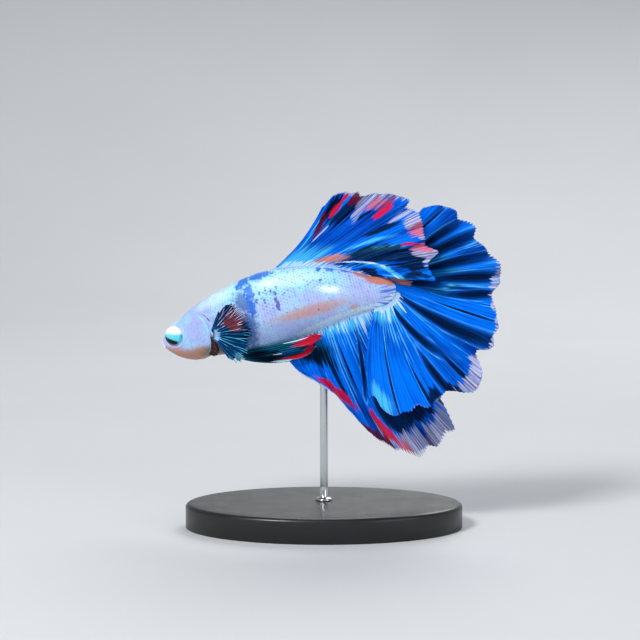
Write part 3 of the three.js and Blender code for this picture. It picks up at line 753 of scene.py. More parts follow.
# %% A map round a tube
def wrapped_uv(faces, columns, rows):
    """A map of a tube cut along one line: round it one way, along it the other. In a face
    that crosses the cut, the corners past it get the map's far edge."""
    corners = np.concatenate([part.ravel() for part in faces])
    sizes = np.concatenate([np.full(len(part), part.shape[1]) for part in faces])
    starts = np.concatenate([[0], np.cumsum(sizes)[:-1]])
    column = corners % columns / columns
    row = np.minimum(corners // columns, rows - 1) / (rows - 1)
    spread = np.maximum.reduceat(column, starts) - np.minimum.reduceat(column, starts)
    past_cut = (np.repeat(spread, sizes) > 0.5) & (column < 0.5)
    return 0.01 + 0.98 * np.stack([(column + past_cut) * columns / (columns + 1), row], -1)


print("a map's far corner:", wrapped_uv(closed_faces(2, 4), 4, 2).max(0).round(3))

# %% The skin's mesh
HEAD_STEPS = 235            # the face has the finest forms, so it has the finest mesh
TRUNK_STEPS = 190
ROUND = 208
FACE_END = 16.0
along = np.concatenate([np.linspace(0.012, FACE_END, HEAD_STEPS, endpoint=False),
                        np.linspace(FACE_END, BODY_LENGTH - 0.01, TRUNK_STEPS)])[:, None]
angle = np.linspace(0, 2 * np.pi, ROUND, endpoint=False)[None, :]
rings = skin_point(along, angle, -SKIN_DEPTH)
poles = np.stack([body_point(0.05, 0, widest_height(0)),
                  body_point(BODY_LENGTH, 0, widest_height(BODY_LENGTH))])
skin_points = np.concatenate([rings.reshape(-1, 3), poles])
grid_along, grid_up = np.broadcast_arrays(along, oval(along, angle)[1])
skin_marks = flat_fields(body_fields(grid_along, grid_up))
ends = flat_fields(body_fields(np.array([0.0, BODY_LENGTH]), poles[:, 2]))
skin_marks = {name: np.concatenate([skin_marks[name], ends[name]]) for name in skin_marks}
skin_faces = closed_faces(len(along), ROUND)
add_piece("skin", skin_points, skin_faces, wrapped_uv(skin_faces, ROUND, len(along)),
          skin_marks, skin_paint.material,
          ("head", "lower_jaw", "gill_cover_left", "gill_cover_right", "trunk", "tail_stalk"))

# %% [markdown]
# ## Scales
#
# Betta scales are thin round plates, about 30 along the flank, each one tucked under the next
# in front and free at its rear edge. They are placed in staggered rows at even distances over
# the skin, not at even angles, so there are fewer rows on the narrow stalk, as on the fish.
# Instances would be lost in an export, so all of them are computed at once as one array: a
# small domed disc, tilted so that its rear edge stands clear.

# %% Where the scales sit
QUARTERS = 181              # points on which the distance round a flank is measured


def rows_round(along, spacing, shift):
    """Angles on the left flank at even distances over the skin, counted both ways from the
    widest line, for one slice. shift moves them by that share of the spacing."""
    angles = np.linspace(np.pi / 2, 3 * np.pi / 2, QUARTERS)
    side, up = oval(along, angles)
    steps = np.hypot(np.diff(side), np.diff(up))
    distance = np.concatenate([[0], np.cumsum(steps)])
    middle = np.interp(np.pi, angles, distance)
    first = math.ceil((-middle) / spacing - shift)
    last = math.floor((distance[-1] - middle) / spacing - shift)
    wanted = middle + (np.arange(first, last + 1) + shift) * spacing
    return np.interp(wanted, distance, angles)


def scale_lattice(start, end, step, spacing):
    """Places of scales on the left flank in staggered columns: (along, angle) pairs."""
    columns = np.arange(start, end, step)
    rounds = [rows_round(at, spacing, 0.5 * (i % 2)) for i, at in enumerate(columns)]
    places = np.repeat(columns, [len(r) for r in rounds])
    return places, np.concatenate(rounds)


def stretch(along, angle, delta=0.01):
    """Millimetres over the skin for each radian round a slice."""
    side_a, up_a = oval(along, angle - delta)
    side_b, up_b = oval(along, angle + delta)
    return np.hypot(side_b - side_a, up_b - up_a) / (2 * delta)


FLANK_FROM, FLANK_TO = 14.2, 50.9
GILL_CLEAR = 1.42           # in the gill cover's own measure
places, rounds = scale_lattice(FLANK_FROM, FLANK_TO, step=0.58, spacing=0.72)
kept = gill_reach(places, oval(places, rounds)[1])[0] > GILL_CLEAR
places, rounds = places[kept], rounds[kept]
print(len(places), "scales on each flank")

# %% All scales of a coat as one mesh
DISC_SIDES = 12
DISC_RINGS = (0.5, 0.84, 1.0)
SCALE_SUNK = 0.04           # the root's depth in the skin
SCALE_THICK = 0.07
SCALE_UV = 0.003            # a scale's patch on the map, at its root's place


def scale_disc():
    """One scale on a unit disc: a middle point, rings of the top, then the lower rim and a
    lower middle. Returns the discs' share out, direction, whether a point is below, faces."""
    way = 2 * np.pi * np.arange(DISC_SIDES) / DISC_SIDES
    share = np.concatenate([[0]] + [np.full(DISC_SIDES, r) for r in (*DISC_RINGS, 1.0)] + [[0]])
    turn = np.concatenate([[0], np.tile(way, len(DISC_RINGS) + 1), [0]])
    below = np.zeros(len(share))
    below[-DISC_SIDES - 1:] = 1
    quads = grid_faces(len(DISC_RINGS) + 1, DISC_SIDES, wrap=True, first=1)
    last = len(share) - 1
    caps = [fan_faces(0, 1 + np.arange(DISC_SIDES)),
            fan_faces(last, last - DISC_SIDES + np.arange(DISC_SIDES), turned=True)]
    return share, turn, below, quads, np.concatenate(caps)


def scale_coat(name, places, rounds, long, wide, lift, dome, finish, seed):
    """Scales at those places. In a scale, a runs from root (-1) to free edge (1) and b
    across; its height over the skin is lift * ((a + 1) / 2)^1.4 and a dome 1 - r^2, less its
    thickness below. Each gets a random tone, a slightly random size, and a dot at a = 0.5."""
    share, turn, below, quads, caps = scale_disc()
    random = np.random.default_rng(seed)
    count = len(places)
    root_along = places[:, None]
    root_angle = rounds[:, None]
    size = random.uniform(0.93, 1.07, (count, 1))
    tone = random.uniform(0, 1, (count, 1))
    slim = np.minimum(1, section(root_along)[0] / 4 + 0.2)
    a = share * np.cos(turn)
    b = share * np.sin(turn)
    along = root_along + a * size * long * slim
    across = b * (1 - 0.12 * a) * size * wide * slim
    angle = root_angle + across / stretch(root_along, root_angle)
    height = (lift * ((a + 1) / 2) ** 1.4 - SCALE_SUNK + dome * (1 - share ** 2)
              - SCALE_THICK * below)
    along = np.minimum(along, BODY_LENGTH - 0.02)
    points = skin_point(along, angle, height - SKIN_DEPTH)
    fields = body_fields(along, oval(along, angle)[1])
    fields["tone"] = np.broadcast_to(tone, along.shape)
    fields["edge"] = np.broadcast_to(a * share ** 3, along.shape)
    fields["dot"] = np.broadcast_to(np.clip(1 - 4 * np.hypot(a - 0.5, b), 0, 1), along.shape)
    step = len(share)
    offsets = (np.arange(count) * step)[:, None, None]
    faces = [(quads + offsets).reshape(-1, 4), (caps + offsets).reshape(-1, 3)]
    patch = SCALE_UV / 2 * np.stack([b, a], -1) * (1 - 0.5 * below[:, None])
    root_uv = np.stack([root_angle / (2 * np.pi) % 1, root_along / BODY_LENGTH], -1)
    uv = np.clip(root_uv * 0.98 + 0.01 + patch, 0, 1)
    add_piece(name, points.reshape(-1, 3), faces, uv.reshape(-1, 2), flat_fields(fields),
              finish)


scale_paint, scale_colour, scale_fine = body_finish(
    "pearl_scales", 0.55, True, Roughness=0.3, Specular_IOR_Level=0.4, Coat_Weight=0.3,
    Coat_Roughness=0.12)
scale_paint.feed(Base_Color=scale_colour, Normal=scale_paint.bumps(scale_fine, 0.00005))
for side, angles in (("left", rounds), ("right", np.pi - rounds)):
    scale_coat("scales_" + side, places, angles, long=1.04, wide=0.64, lift=0.11, dome=0.045,
               finish=scale_paint.material, seed=3)

# %% Small scales on the head
FACE_SCALES_FROM = 6.2
places, rounds = scale_lattice(FACE_SCALES_FROM, FLANK_FROM, step=0.42, spacing=0.56)
head_up = oval(places, rounds)[1]
reach, way = gill_reach(places, head_up)
on_rim = (reach > 0.86) & (reach < 1.3) & (np.cos(way) > -0.1)
from_pectoral = np.hypot(places - PECTORAL["along"], head_up - PECTORAL["up"])
kept = ((eye_reach(places, head_up) > 3.0) & (head_up > -3.6) & ~on_rim
        & (from_pectoral > 1.6))
places, rounds = places[kept], rounds[kept]
scale_coat("head_scales", np.tile(places, 2), np.concatenate([rounds, np.pi - rounds]),
           long=0.62, wide=0.44, lift=0.035, dome=0.03, finish=scale_paint.material, seed=4)

# %% [markdown]
# ## Eyes
#
# The eye is a flattened ball that fills its pit and stands a little proud of the cheek. On
# this fish its upper part is milky white, partly a pale cover over the eye and partly painted
# reflection of the light, its rear and middle turquoise, and the pupil looks forwards and down,
# cut off above by the iris's jagged fold. The ball is a grid of rings from its outermost point
# to its hidden pole, with the cornea's low dome over the pupil. A clear coat over the paint
# gives the wet look.

# %% The finish of an eye
PUPIL = (-0.36, -0.38)      # forwards and down from the middle, in eye radii
eye = Finish("wet_eye", Roughness=0.3, Specular_IOR_Level=0.1, Coat_Weight=0.4,
             Coat_IOR=1.35, Coat_Roughness=0.02)
disc = eye.vector("disc")
from_pupil = eye.field("from_pupil")
ahead, above = eye.parts(disc)
ragged = (eye.noise(disc, 5.0, 3, 0.6) - 0.5) * 0.22
grain = eye.noise(disc, 16.0, 3, 0.6)
iris = eye.blend("2fb8cf", "7deaf4", eye.step(grain, 0.35, 0.65))
iris = eye.blend(iris, "1f7fa8", eye.step(ahead + ragged, 0.6, 0.95))
# The milky upper part: partly a pale cover over the eye, partly painted reflection of the light.
milk_and_glare = eye.step(above + ahead * 0.3 + ragged * 0.6, 0.1, 0.5)
iris = eye.blend(iris, "f4fdfa", milk_and_glare)
lid_line = above + ahead * 0.7 + ragged * 0.5
shade = eye.step(lid_line, -0.22, -0.36) * eye.step(from_pupil, 0.86, 0.72) * 0.7
iris = eye.blend(iris, "0d5f78", shade)
pupil = eye.step(lid_line, -0.34, -0.41) * eye.step(from_pupil, 0.74, 0.68)
iris = eye.blend(iris, "05070c", pupil)
rim = eye.step(eye.field("from_middle"), 0.86, 0.97)
eye.feed(Base_Color=eye.blend(iris, "e6dcee", rim * 0.9))
print("eye finish has", len(eye.tree.nodes), "nodes")

# %% Eyeballs
EYE_RINGS = 44
EYE_ROUND = 72


def eyeball(name, side):
    """A ball flattened sideways: long or high * sin(t) in the face's plane and depth * cos(t)
    out of it, raised over the pupil by a low dome, sunk in a thin ring at the iris's rim. Its
    map unrolls it from the middle, t / pi of the way out."""
    t = np.linspace(0, np.pi, EYE_RINGS)[1:-1, None]
    turn = 2 * np.pi * np.arange(EYE_ROUND)[None, :] / EYE_ROUND
    ahead = np.sin(t) * np.cos(turn)
    above = np.sin(t) * np.sin(turn)
    from_pupil = np.hypot(ahead - PUPIL[0], above - PUPIL[1]) + 2 * (t > np.pi / 2)
    grow = 1 + 0.03 * bump(from_pupil, 0, 0.75) - 0.02 * bump(np.sin(t), 0.9, 0.07)
    out = EYE["out"] + EYE["depth"] * np.cos(t) * grow
    points = body_point(EYE["along"] + EYE["long"] * ahead * grow,
                        side * out, EYE["up"] + EYE["high"] * above * grow)
    ends = body_point(EYE["along"], side * (EYE["out"] + EYE["depth"] * np.array([1, -1])),
                      EYE["up"])
    flat = np.stack([ahead, above, 0 * ahead], -1).reshape(-1, 3)
    pole_fields = np.hypot(*PUPIL) * np.ones(2) + [0, 2]
    fields = {"disc": np.concatenate([flat, np.zeros((2, 3))]),
              "from_pupil": np.concatenate([from_pupil.ravel(), pole_fields]),
              "from_middle": np.concatenate([np.hypot(ahead, above).ravel(), [0, 0]])}
    radius = np.concatenate([np.broadcast_to(t / np.pi, ahead.shape).ravel(), [0, 1]])
    around = np.concatenate([np.broadcast_to(turn, ahead.shape).ravel(), [0, 0]])
    uv = 0.5 + 0.49 * radius[:, None] * np.stack([np.cos(around), np.sin(around)], -1)
    add_piece("eyeball_" + name, np.concatenate([points.reshape(-1, 3), ends]),
              closed_faces(EYE_RINGS - 2, EYE_ROUND), uv, fields, eye.material,
              ("eye_" + name,))


for name, side in (("left", -1), ("right", 1)):
    eyeball(name, side)

# %% [markdown]
# ## Fins
#
# A betta's fin is a fan: stiff jointed rays that fork again and again towards the margin, with
# a film of skin stretched between them. Unfolded it would be flat; in the water it hangs in
# pleats, and between its rays the film buckles in fine flutes. A cloth simulation would give
# pleats, but not these ones, so each fin is one formula with named folds. The film is a thin
# closed sheet over that formula, and the rays are tubes that follow it, so they can't part.

# %% A pleated surface
LEAN_POWER = 0.9            # below 1, so neighbouring fins part soon after their bases
PLEAT_POWER = 1.25          # above 1, so the pleats deepen towards the margin
ROOTED = -0.07              # how far below its base line a film starts, inside the skin


def fold_height(folds):
    """The pleats' height between folds: it eases from each fold to the next."""
    places = np.array([fold[0] for fold in folds])
    heights = np.array([fold[3] for fold in folds])

    def height(u):
        i = np.clip(np.searchsorted(places, u) - 1, 0, len(places) - 2)
        return mix(heights[i], heights[i + 1], smooth(u, places[i], places[i + 1]))
    return height


FLUTE_DEPTH = 0.15
FRILL_DEPTH = 0.2


def pleated(folds, base_at, lean, bow, pleat, flutes, frills, towards=-1.0):
    """A surface over u along the fin and v up its rays:
        base + (tip - base) * v, bowed square to the ray by bow(u) * 4 v (1 - v), and pushed
        sideways by lean(u) * v^0.9, by the pleats height(u) * pleat * v^1.25, by fine flutes
        0.15 sin(pi * flutes * u) * v^0.8, and by frills that swell only near the margin."""
    tip_x = through(*((fold[0], fold[1]) for fold in folds))
    tip_z = through(*((fold[0], fold[2]) for fold in folds))
    height = fold_height(folds)

    def surface(u, v):
        u, v = np.broadcast_arrays(u, v)
        base = base_at(u)
        ray_x, ray_z = tip_x(u) - base[..., 0], tip_z(u) - base[..., 2]
        bend = bow(u) * 4 * v * (1 - v) / np.hypot(ray_x, ray_z)
        up_ray = np.maximum(v, 0)
        wave = FLUTE_DEPTH * np.sin(np.pi * flutes * u) * up_ray ** 0.8
        wander = 2 * np.pi * frills * u + 1.7 * np.sin(9 * u)
        frill = FRILL_DEPTH * np.sin(wander) * smooth(up_ray, 0.72, 1.05)
        push = pleat * up_ray ** PLEAT_POWER * height(u) + wave + frill
        side = base[..., 1] + lean(u) * up_ray ** LEAN_POWER + towards * push
        return np.stack([base[..., 0] + ray_x * v - ray_z * bend, side,
                         base[..., 2] + ray_z * v + ray_x * bend], -1)
    surface.height = height
    return surface


print("pleats between folds of 0 and 1 at a quarter:",
      fold_height([(0, 0, 0, 0), (1, 0, 0, 1)])(0.25))

# %% The film of a fin
def margin(u, rays, notch, seed):
    """How far up its rays the fin reaches: a wandering edge from seeded random heights, less
    up to 6 in 100, and for the film scallops between the ray tips, 0.2 to 2.6 notch deep."""
    random = np.random.default_rng(seed)
    knots = np.linspace(0, 1, rays // 3 + 1)
    wander = np.interp(u, knots, 1 - 0.06 * random.random(len(knots)) ** 2)
    deep = notch * np.interp(u, knots, 0.2 + 2.4 * random.random(len(knots)) ** 2)
    return wander - deep * (0.5 + 0.5 * np.cos(2 * np.pi * rays * u))


def film(surface, columns, rows, rays, notch, seed, thickness=(0.1, 0.055)):
    """A closed sheet on both sides of a surface, half a thickness out along its normal (the
    cross product of the steps along u and v). The thickness goes from base to margin. Each
    side fills one half of the map. Returns points, faces, map, u and v."""
    u = np.linspace(0, 1, columns)[:, None]
    v = np.linspace(ROOTED, 1, rows)[None, :] * margin(u, rays, notch, seed)
    points = surface(u, v)
    normal = np.cross(np.gradient(points, axis=0), np.gradient(points, axis=1))
    normal /= np.linalg.norm(normal, axis=-1, keepdims=True)
    half = 0.5 * mix(thickness[0], thickness[1], np.clip(v, 0, 1))[..., None]
    both = np.concatenate([(points + normal * half).reshape(-1, 3),
                           (points - normal * half).reshape(-1, 3)])
    count = columns * rows
    front = grid_faces(columns, rows)
    border = np.concatenate([np.arange(rows - 1), np.arange(rows - 1, count - 1, rows),
                             np.arange(count - 1, count - rows, -1),
                             np.arange(count - rows, 0, -rows)])
    beyond = np.roll(border, -1)
    rim = np.stack([border, border + count, beyond + count, beyond], -1)
    faces = [front, (front + count)[:, ::-1], rim]
    flat = np.stack(np.broadcast_arrays(u, np.linspace(0, 1, rows)[None, :]), -1)
    flat = flat.reshape(-1, 2) * [0.47, 0.96] + [0.015, 0.02]
    uv = np.concatenate([flat, flat + [0.5, 0]])
    u, v = (np.tile(part.ravel(), 2) for part in np.broadcast_arrays(u, v))
    return both, faces, uv, u, v


print("a margin of 30 rays reaches", margin(np.linspace(0, 1, 4), 30, 0.02, 1).round(3))

# %% The rays of a fin
def tubes(paths, across, radii, sides=6):
    """Round tubes along many paths at once: path + r (cos t A + sin t B), where A is the part
    of across square to the path and B is square to both. Pointed ends close them, and each
    has its own cell of the map."""
    tangent = np.gradient(paths, axis=1)
    tangent /= np.linalg.norm(tangent, axis=-1, keepdims=True)
    a = across - tangent * np.sum(across * tangent, -1, keepdims=True)
    a /= np.linalg.norm(a, axis=-1, keepdims=True)
    b = np.cross(tangent, a)
    turn = 2 * np.pi * np.arange(sides) / sides
    ring = a[:, :, None] * np.cos(turn)[:, None] + b[:, :, None] * np.sin(turn)[:, None]
    rings = paths[:, :, None] + ring * radii[:, :, None, None]
    many, length = paths.shape[:2]
    tips = paths[:, [0, -1]] + tangent[:, [0, -1]] * radii[:, [0, -1], None] * [[[-1], [1]]]
    points = np.concatenate([rings.reshape(many, -1, 3), tips], 1)
    body, *caps = closed_faces(length, sides)
    offset = (np.arange(many) * points.shape[1])[:, None, None]
    faces = [(body + offset).reshape(-1, 4), (np.concatenate(caps) + offset).reshape(-1, 3)]
    cell = math.ceil(math.sqrt(many))
    corner = np.stack([np.arange(many) % cell, np.arange(many) // cell], -1)[:, None]
    row, column = np.mgrid[0:length, 0:sides]
    local = np.stack([column / sides, row / length], -1).reshape(-1, 2)
    local = np.concatenate([local, [[0.45, 0], [0.45, 0.97]]])
    uv = (corner + 0.04 + 0.9 * local) / cell
    return points.reshape(-1, 3), faces, uv.reshape(-1, 2)


def forked_rays(surface, levels, thick, thin, tip):
    """Rays that fork: level k has a count and the v at which it starts. Ray i of a level grows
    from ray i // 2 of the one before and eases over to its own share (i + 0.5) / count. Its
    radius falls from thick at the base to thin at the margin."""
    parts = []
    for k, (count, start) in enumerate(levels):
        end = levels[k + 1][1] + 0.01 if k + 1 < len(levels) else 1
        own = (np.arange(count)[:, None] + 0.5) / count
        parent = own if k == 0 else (np.arange(count)[:, None] // 2 + 0.5) / levels[k - 1][0]
        t = np.linspace(0, 1, 8 + round(34 * (end - start)))[None, :]
        u = mix(parent, own, smooth(t, 0, 0.75))
        v = mix(start, end, t)
        v = v * tip(u) if end == 1 else v * np.ones_like(u)
        path = surface(u, v)
        across = surface(u + 0.002, v) - surface(u - 0.002, v)
        radii = mix(thick, thin, np.clip(v, 0, 1) ** 0.7)
        points, faces, uv = tubes(path, across, radii)
        spread = points.shape[0] // count
        sides = (spread - 2) // t.shape[1]
        fields = [np.concatenate([np.repeat(part, sides, axis=1), part[:, [0, -1]]], 1).ravel()
                  for part in np.broadcast_arrays(u, v)]
        parts.append((points, faces, (uv + [k % 2, k // 2]) / 2, *fields))
    shift = np.cumsum([0] + [len(part[0]) for part in parts])
    faces = [part[1][j] + shift[k] for k, part in enumerate(parts) for j in (0, 1)]
    points, uv, u, v = (np.concatenate([part[j] for part in parts]) for j in (0, 2, 3, 4))
    return points, faces, uv, u, v


straight = np.linspace((0, 0, 0), (1, 0, 0), 5)[None]
print("a tube of 5 rings:", len(tubes(straight, np.array([0, 1, 0]), np.full((1, 5), 0.1))[0]),
      "points")

# %% [markdown]
# ## Colour of the fins
#
# The colour of these fins is partly pigment and partly structure: electric azure that turns
# cyan on the ribs, with patches of crimson and bare lavender film towards the margins. On top
# of it light and shade are painted: near-black shade in the recesses, shadow in the clefts
# between the pleats and where fins overlap, and highlights on the clefts' rims and along the
# ribs. All of it runs in streaks along the rays. So the noise is drawn out along v, and each fin
# only adds its own soft patches in u and v.

# %% Fields of colour on a fin
FIN_MARKS = ("fin_shadow", "pleat_shadow", "crimson", "maroon", "mauve", "pale", "teal", "rust", "pink",
             "salmon", "cyan", "glow", "dusk", "root")


def fin_fields(u, v, rays, surface, patches):
    """The patches' fields over a fin, its folds, and its own place: how many forked rays
    along it and how far up them. A patch's row is a blob in tenths of the fin: its place
    along and up it, half its length and height, and its turn. Pale spikes of uneven height
    run up from the base under a root patch."""
    fields = {name: strongest(0 * u, *(blob(u * 10, v * 10, *row)
                                       for row in patches.get(name, ())))
              for name in FIN_MARKS}
    spikes = 0.5 + 0.5 * np.sin(61 * u + 2 * np.sin(27 * u)) * np.sin(143 * u + 1)
    bare = fields.pop("root")
    reach = 0.01 + 0.3 * spikes ** 3 * bare
    spiked = np.clip(1 - v / reach, 0, 1) * np.minimum(3 * bare, 1)
    fields["pale"] = strongest(fields["pale"], spiked)
    fields["fin"] = np.stack([u * rays / 2, v, 0 * u], -1)
    fields["fold"] = surface.height(np.clip(u, 0, 1)) * smooth(v, 0.02, 0.45)
    return fields


print("marks of a fin:", ", ".join(FIN_MARKS))

# %% The finish of a fin
# A layer: mark, colour, share, how far its edge frays, how soft it is.
GLOW_LAYERS = (("dusk", "0030a0", 0.6, 0.8, 0.4), ("teal", "03506a", 0.8, 0.7, 0.25),
               ("glow", "4cc4f6", 0.8, 0.9, 0.4))
# A step of painted shadow down into a cleft between pleats: colour, where it starts and ends in
# that shadow's field, share.
PLEAT_SHADOW_LAYERS = (("0654b8", 0.34, 0.5, 0.85), ("032a66", 0.5, 0.7, 0.9),
                ("02102c", 0.72, 0.98, 0.85))
# A layer again, with the softness of 0.1 left out.
PATCH_LAYERS = (
    ("rust", "6e2a30", 0.9, 1.3), ("maroon", "5e0d2c", 0.95, 1.2),
    ("pink", "d06a86", 0.9, 2.2, 0.12), ("crimson", "d3123c", 0.95, 1.3, 0.1),
    ("salmon", "c98476", 0.95, 1.2, 0.2))


def fin_finish(name, ribs=False, tint=("0040a8", "0072f4", "58c0ff"), root="b9dcff",
               clear=0.12, film_alpha=1.0, bare=0.95):
    """Film or its ribs, all in streaks along the rays: light lines on the rays, their paler
    colour with a painted highlight, and dark ones between them, painted shade in the recesses,
    three steps of painted shadow down to the black clefts between the pleats with a painted
    highlight on their rim, then the marks, among them patches of painted shadow. tint goes from
    dark to light; bare is the share of the pale marks, and clear how much light the margin and
    the bare film let through."""
    paint = Finish(name, Roughness=0.4, Specular_IOR_Level=0.1, Specular_Tint=(0.2, 0.55, 1, 1))
    place = paint.vector("fin")
    across, outward = paint.parts(place)
    each = paint.noise(paint.stretched(place, (0.8, 1.2, 1)), 1.0, 2, 0.6)
    fine = paint.noise(paint.stretched(place, (2.6, 4.0, 1)), 1.0, 2, 0.6)
    broad = paint.noise(paint.stretched(place, (0.2, 1.8, 1)), 1.0, 2)
    fray = (each - 0.5) * 1.6 + (fine - 0.5) * 0.9

    def lines(share):
        """1 on every ray, -1 midway between two."""
        turn = across * (2 * math.pi * share)
        return paint.node("Math", {"operation": "COSINE"}, {0: turn}) * -1.0

    def mark(field, spread, soft=0.1):
        value = paint.field(field)
        ragged = fray * spread * paint.step(value, 0.04, 0.3)
        return paint.step(value + ragged, 0.5 - soft, 0.5 + soft)

    half_lines = lines(1)
    line = half_lines + (lines(2) - half_lines) * paint.step(outward, 0.5, 0.8)
    coat = paint.blend(tint[0], tint[1],
                       paint.step(broad + each * 0.7, 0.58, 0.9))
    gap = paint.step(line * -1.0 + fray * 1.6, 0.35, 1.2)
    coat = paint.blend(coat, "001a66", gap * 0.32)
    thread = paint.step(line * -1.0 + fray * 2.4, 0.9, 1.5)
    coat = paint.blend(coat, "00225c", thread * 0.45)
    # Light lines on the rays: their paler colour, with a painted highlight that the cyan field
    # strengthens.
    crest = paint.step(line * 0.6 + fray * 3.0 + paint.field("cyan") * 1.0, 1.05, 1.6)
    coat = paint.blend(coat, tint[2], crest * (0.85 if ribs else 0.65))
    # Painted shade in the pleats' valleys, read from the fold field.
    recess_shade = paint.step(paint.field("fold") * -1.0 + fray * 0.6, 0.25, 0.8)
    coat = paint.blend(coat, "01246e", recess_shade * 0.38)
    coat = paint.lay(coat, GLOW_LAYERS, mark)
    # A painted highlight along the rim of each cleft between pleats, then painted shadow down
    # into it.
    pleat_shadow = paint.field("pleat_shadow") + fray * 0.22
    rim = paint.step(pleat_shadow, 0.2, 0.38) * paint.step(pleat_shadow, 0.52, 0.42)
    coat = paint.blend(coat, tint[2], rim * paint.step(each, 0.4, 0.6) * 0.7)
    for shade, low, high, share in PLEAT_SHADOW_LAYERS:
        coat = paint.blend(coat, shade, paint.step(pleat_shadow, low, high) * share)
    # Patches of painted shadow, where folds and neighbouring fins shade the film.
    coat = paint.blend(coat, "020a20", mark("fin_shadow", 1.3, 0.16) * 0.92)
    film_light = paint.blend("6c669c", "c8d0f2",
                             paint.step(line * 0.3 + fray * 2.6, -0.7, 0.8))
    film_light = paint.blend(film_light, "9cc4ee", paint.step(broad, 0.52, 0.66) * 0.6)
    film_light = paint.blend(film_light, "c094b4", paint.step(each, 0.56, 0.72) * 0.5)
    coat = paint.blend(coat, film_light, mark("mauve", 1.3) * 0.92)
    coat = paint.lay(coat, PATCH_LAYERS, mark)
    coat = paint.blend(coat, root, mark("pale", 1.2, 0.16) * bare)
    fringe = paint.step(outward + fray * 0.03, 0.972, 0.995)
    coat = paint.blend(coat, "7f9cf0", fringe * 0.7)
    paint.feed(Base_Color=coat, Normal=paint.bumps(line * 0.5 + fine, 0.0001))
    if not ribs:
        thin = fringe.most(mark("mauve", 1.3) * 0.8)
        paint.feed(Alpha=film_alpha - thin * clear)
    return paint.material


def add_fin(name, surface, patches, finishes, levels, columns, rows, seed,
            thick=0.13, thin=0.045, notch=0.02, ray_patches=None):
    """A fin's film, standing for the solid of that name, and its rays. levels gives each
    fork's number of rays and the v at which it starts; the last number is the fin's."""
    rays = levels[-1][0]
    points, faces, uv, u, v = film(surface, columns, rows, rays, notch, seed)
    add_piece(name + "_film", points, faces, uv, fin_fields(u, v, rays, surface, patches),
              finishes[0], (name,))
    points, faces, uv, u, v = forked_rays(surface, levels, thick, thin,
                                          lambda w: margin(w, rays, 0, seed))
    add_piece(name + "_rays", points, faces, uv,
              fin_fields(u, v, rays, surface, ray_patches or patches), finishes[1])


AZURE = (fin_finish("azure_film"), fin_finish("azure_ribs", ribs=True))
print("azure finishes of", [len(part.node_tree.nodes) for part in AZURE], "nodes")

# %% [markdown]
# ## Tail, dorsal and anal fins
#
# The three big fins share the surface and differ only in their folds, their base line and
# their patches. They could be three sculpts, but then the same pleats would be drawn three
# times. The tail is a half disc on an arc round the stalk, so its folds are given by angle and
# reach. The dorsal and the anal fin grow from the back and the belly, and their folds say where
# each one meets the margin.

# %% The tail's surface
TAIL_ROOT = (18.4, -0.6)
TAIL_ARC = {"x": 16.2, "z": -0.6, "long": 4.35, "high": 3.75, "first": 96, "last": -116}
TAIL_FOLDS = [
    (52.5, 17.6, .2), (44.5, 19.7, 1), (40, 20, -.3), (35.5, 20.5, .9), (29.5, 20.5, -1),
    (20.5, 21.3, 1), (14, 20.6, -.9), (9.5, 21, .8), (4.5, 21.5, -.9), (-1.5, 23.2, .9),
    (-5.5, 22.9, .4), (-9, 22.4, -.9), (-12.5, 22.2, .6), (-18, 21.4, -.9), (-23, 21.6, .7),
    (-30, 23, 1), (-38, 23.8, .8), (-45.5, 23.4, .9), (-50.5, 21.8, -1), (-56, 24.8, .8),
    (-62, 26.6, .6), (-68, 26.2, -1), (-75, 23.9, .9), (-80.5, 24, -.5), (-86, 24.8, 1),
    (-91.5, 23.6, .4), (-95.5, 25, .9), (-102, 25.2, 1), (-108.5, 23.6, .6),
    (-112.5, 21.8, -.6), (-116, 21.6, .5)]


def fan_folds(folds, root):
    """Folds given as angle, reach and height, turned into shares and tips round a root."""
    angle, reach, height = np.array(folds).T
    share = (angle[0] - angle) / (angle[0] - angle[-1])
    way = np.radians(angle)
    return list(zip(share, root[0] + reach * np.cos(way), root[1] + reach * np.sin(way), height))


tail_sideways = through((0, .35), (.3, 0), (.7, 0), (1, -.45))


def tail_base(u):
    """An arc round the blunt end of the tail stalk."""
    way = np.radians(mix(TAIL_ARC["first"], TAIL_ARC["last"], u))
    x = TAIL_ARC["x"] + TAIL_ARC["long"] * np.cos(way)
    z = TAIL_ARC["z"] + TAIL_ARC["high"] * np.sin(way)
    return np.stack([x, np.interp(x, spine_x, spine_y) + tail_sideways(u), z], -1)


tail = pleated(fan_folds(TAIL_FOLDS, TAIL_ROOT), tail_base,
               lean=through((0, 3.2), (.25, 2.4), (.45, .6), (.6, -1.6), (.8, -4.2), (1, -5)),
               bow=through((0, .3), (.4, 0), (.7, -.6), (1, -.9)),
               pleat=0.95, flutes=56, frills=43)
print("the tail's middle ray ends at", tail(0.5, 1.0).round(1), "mm")

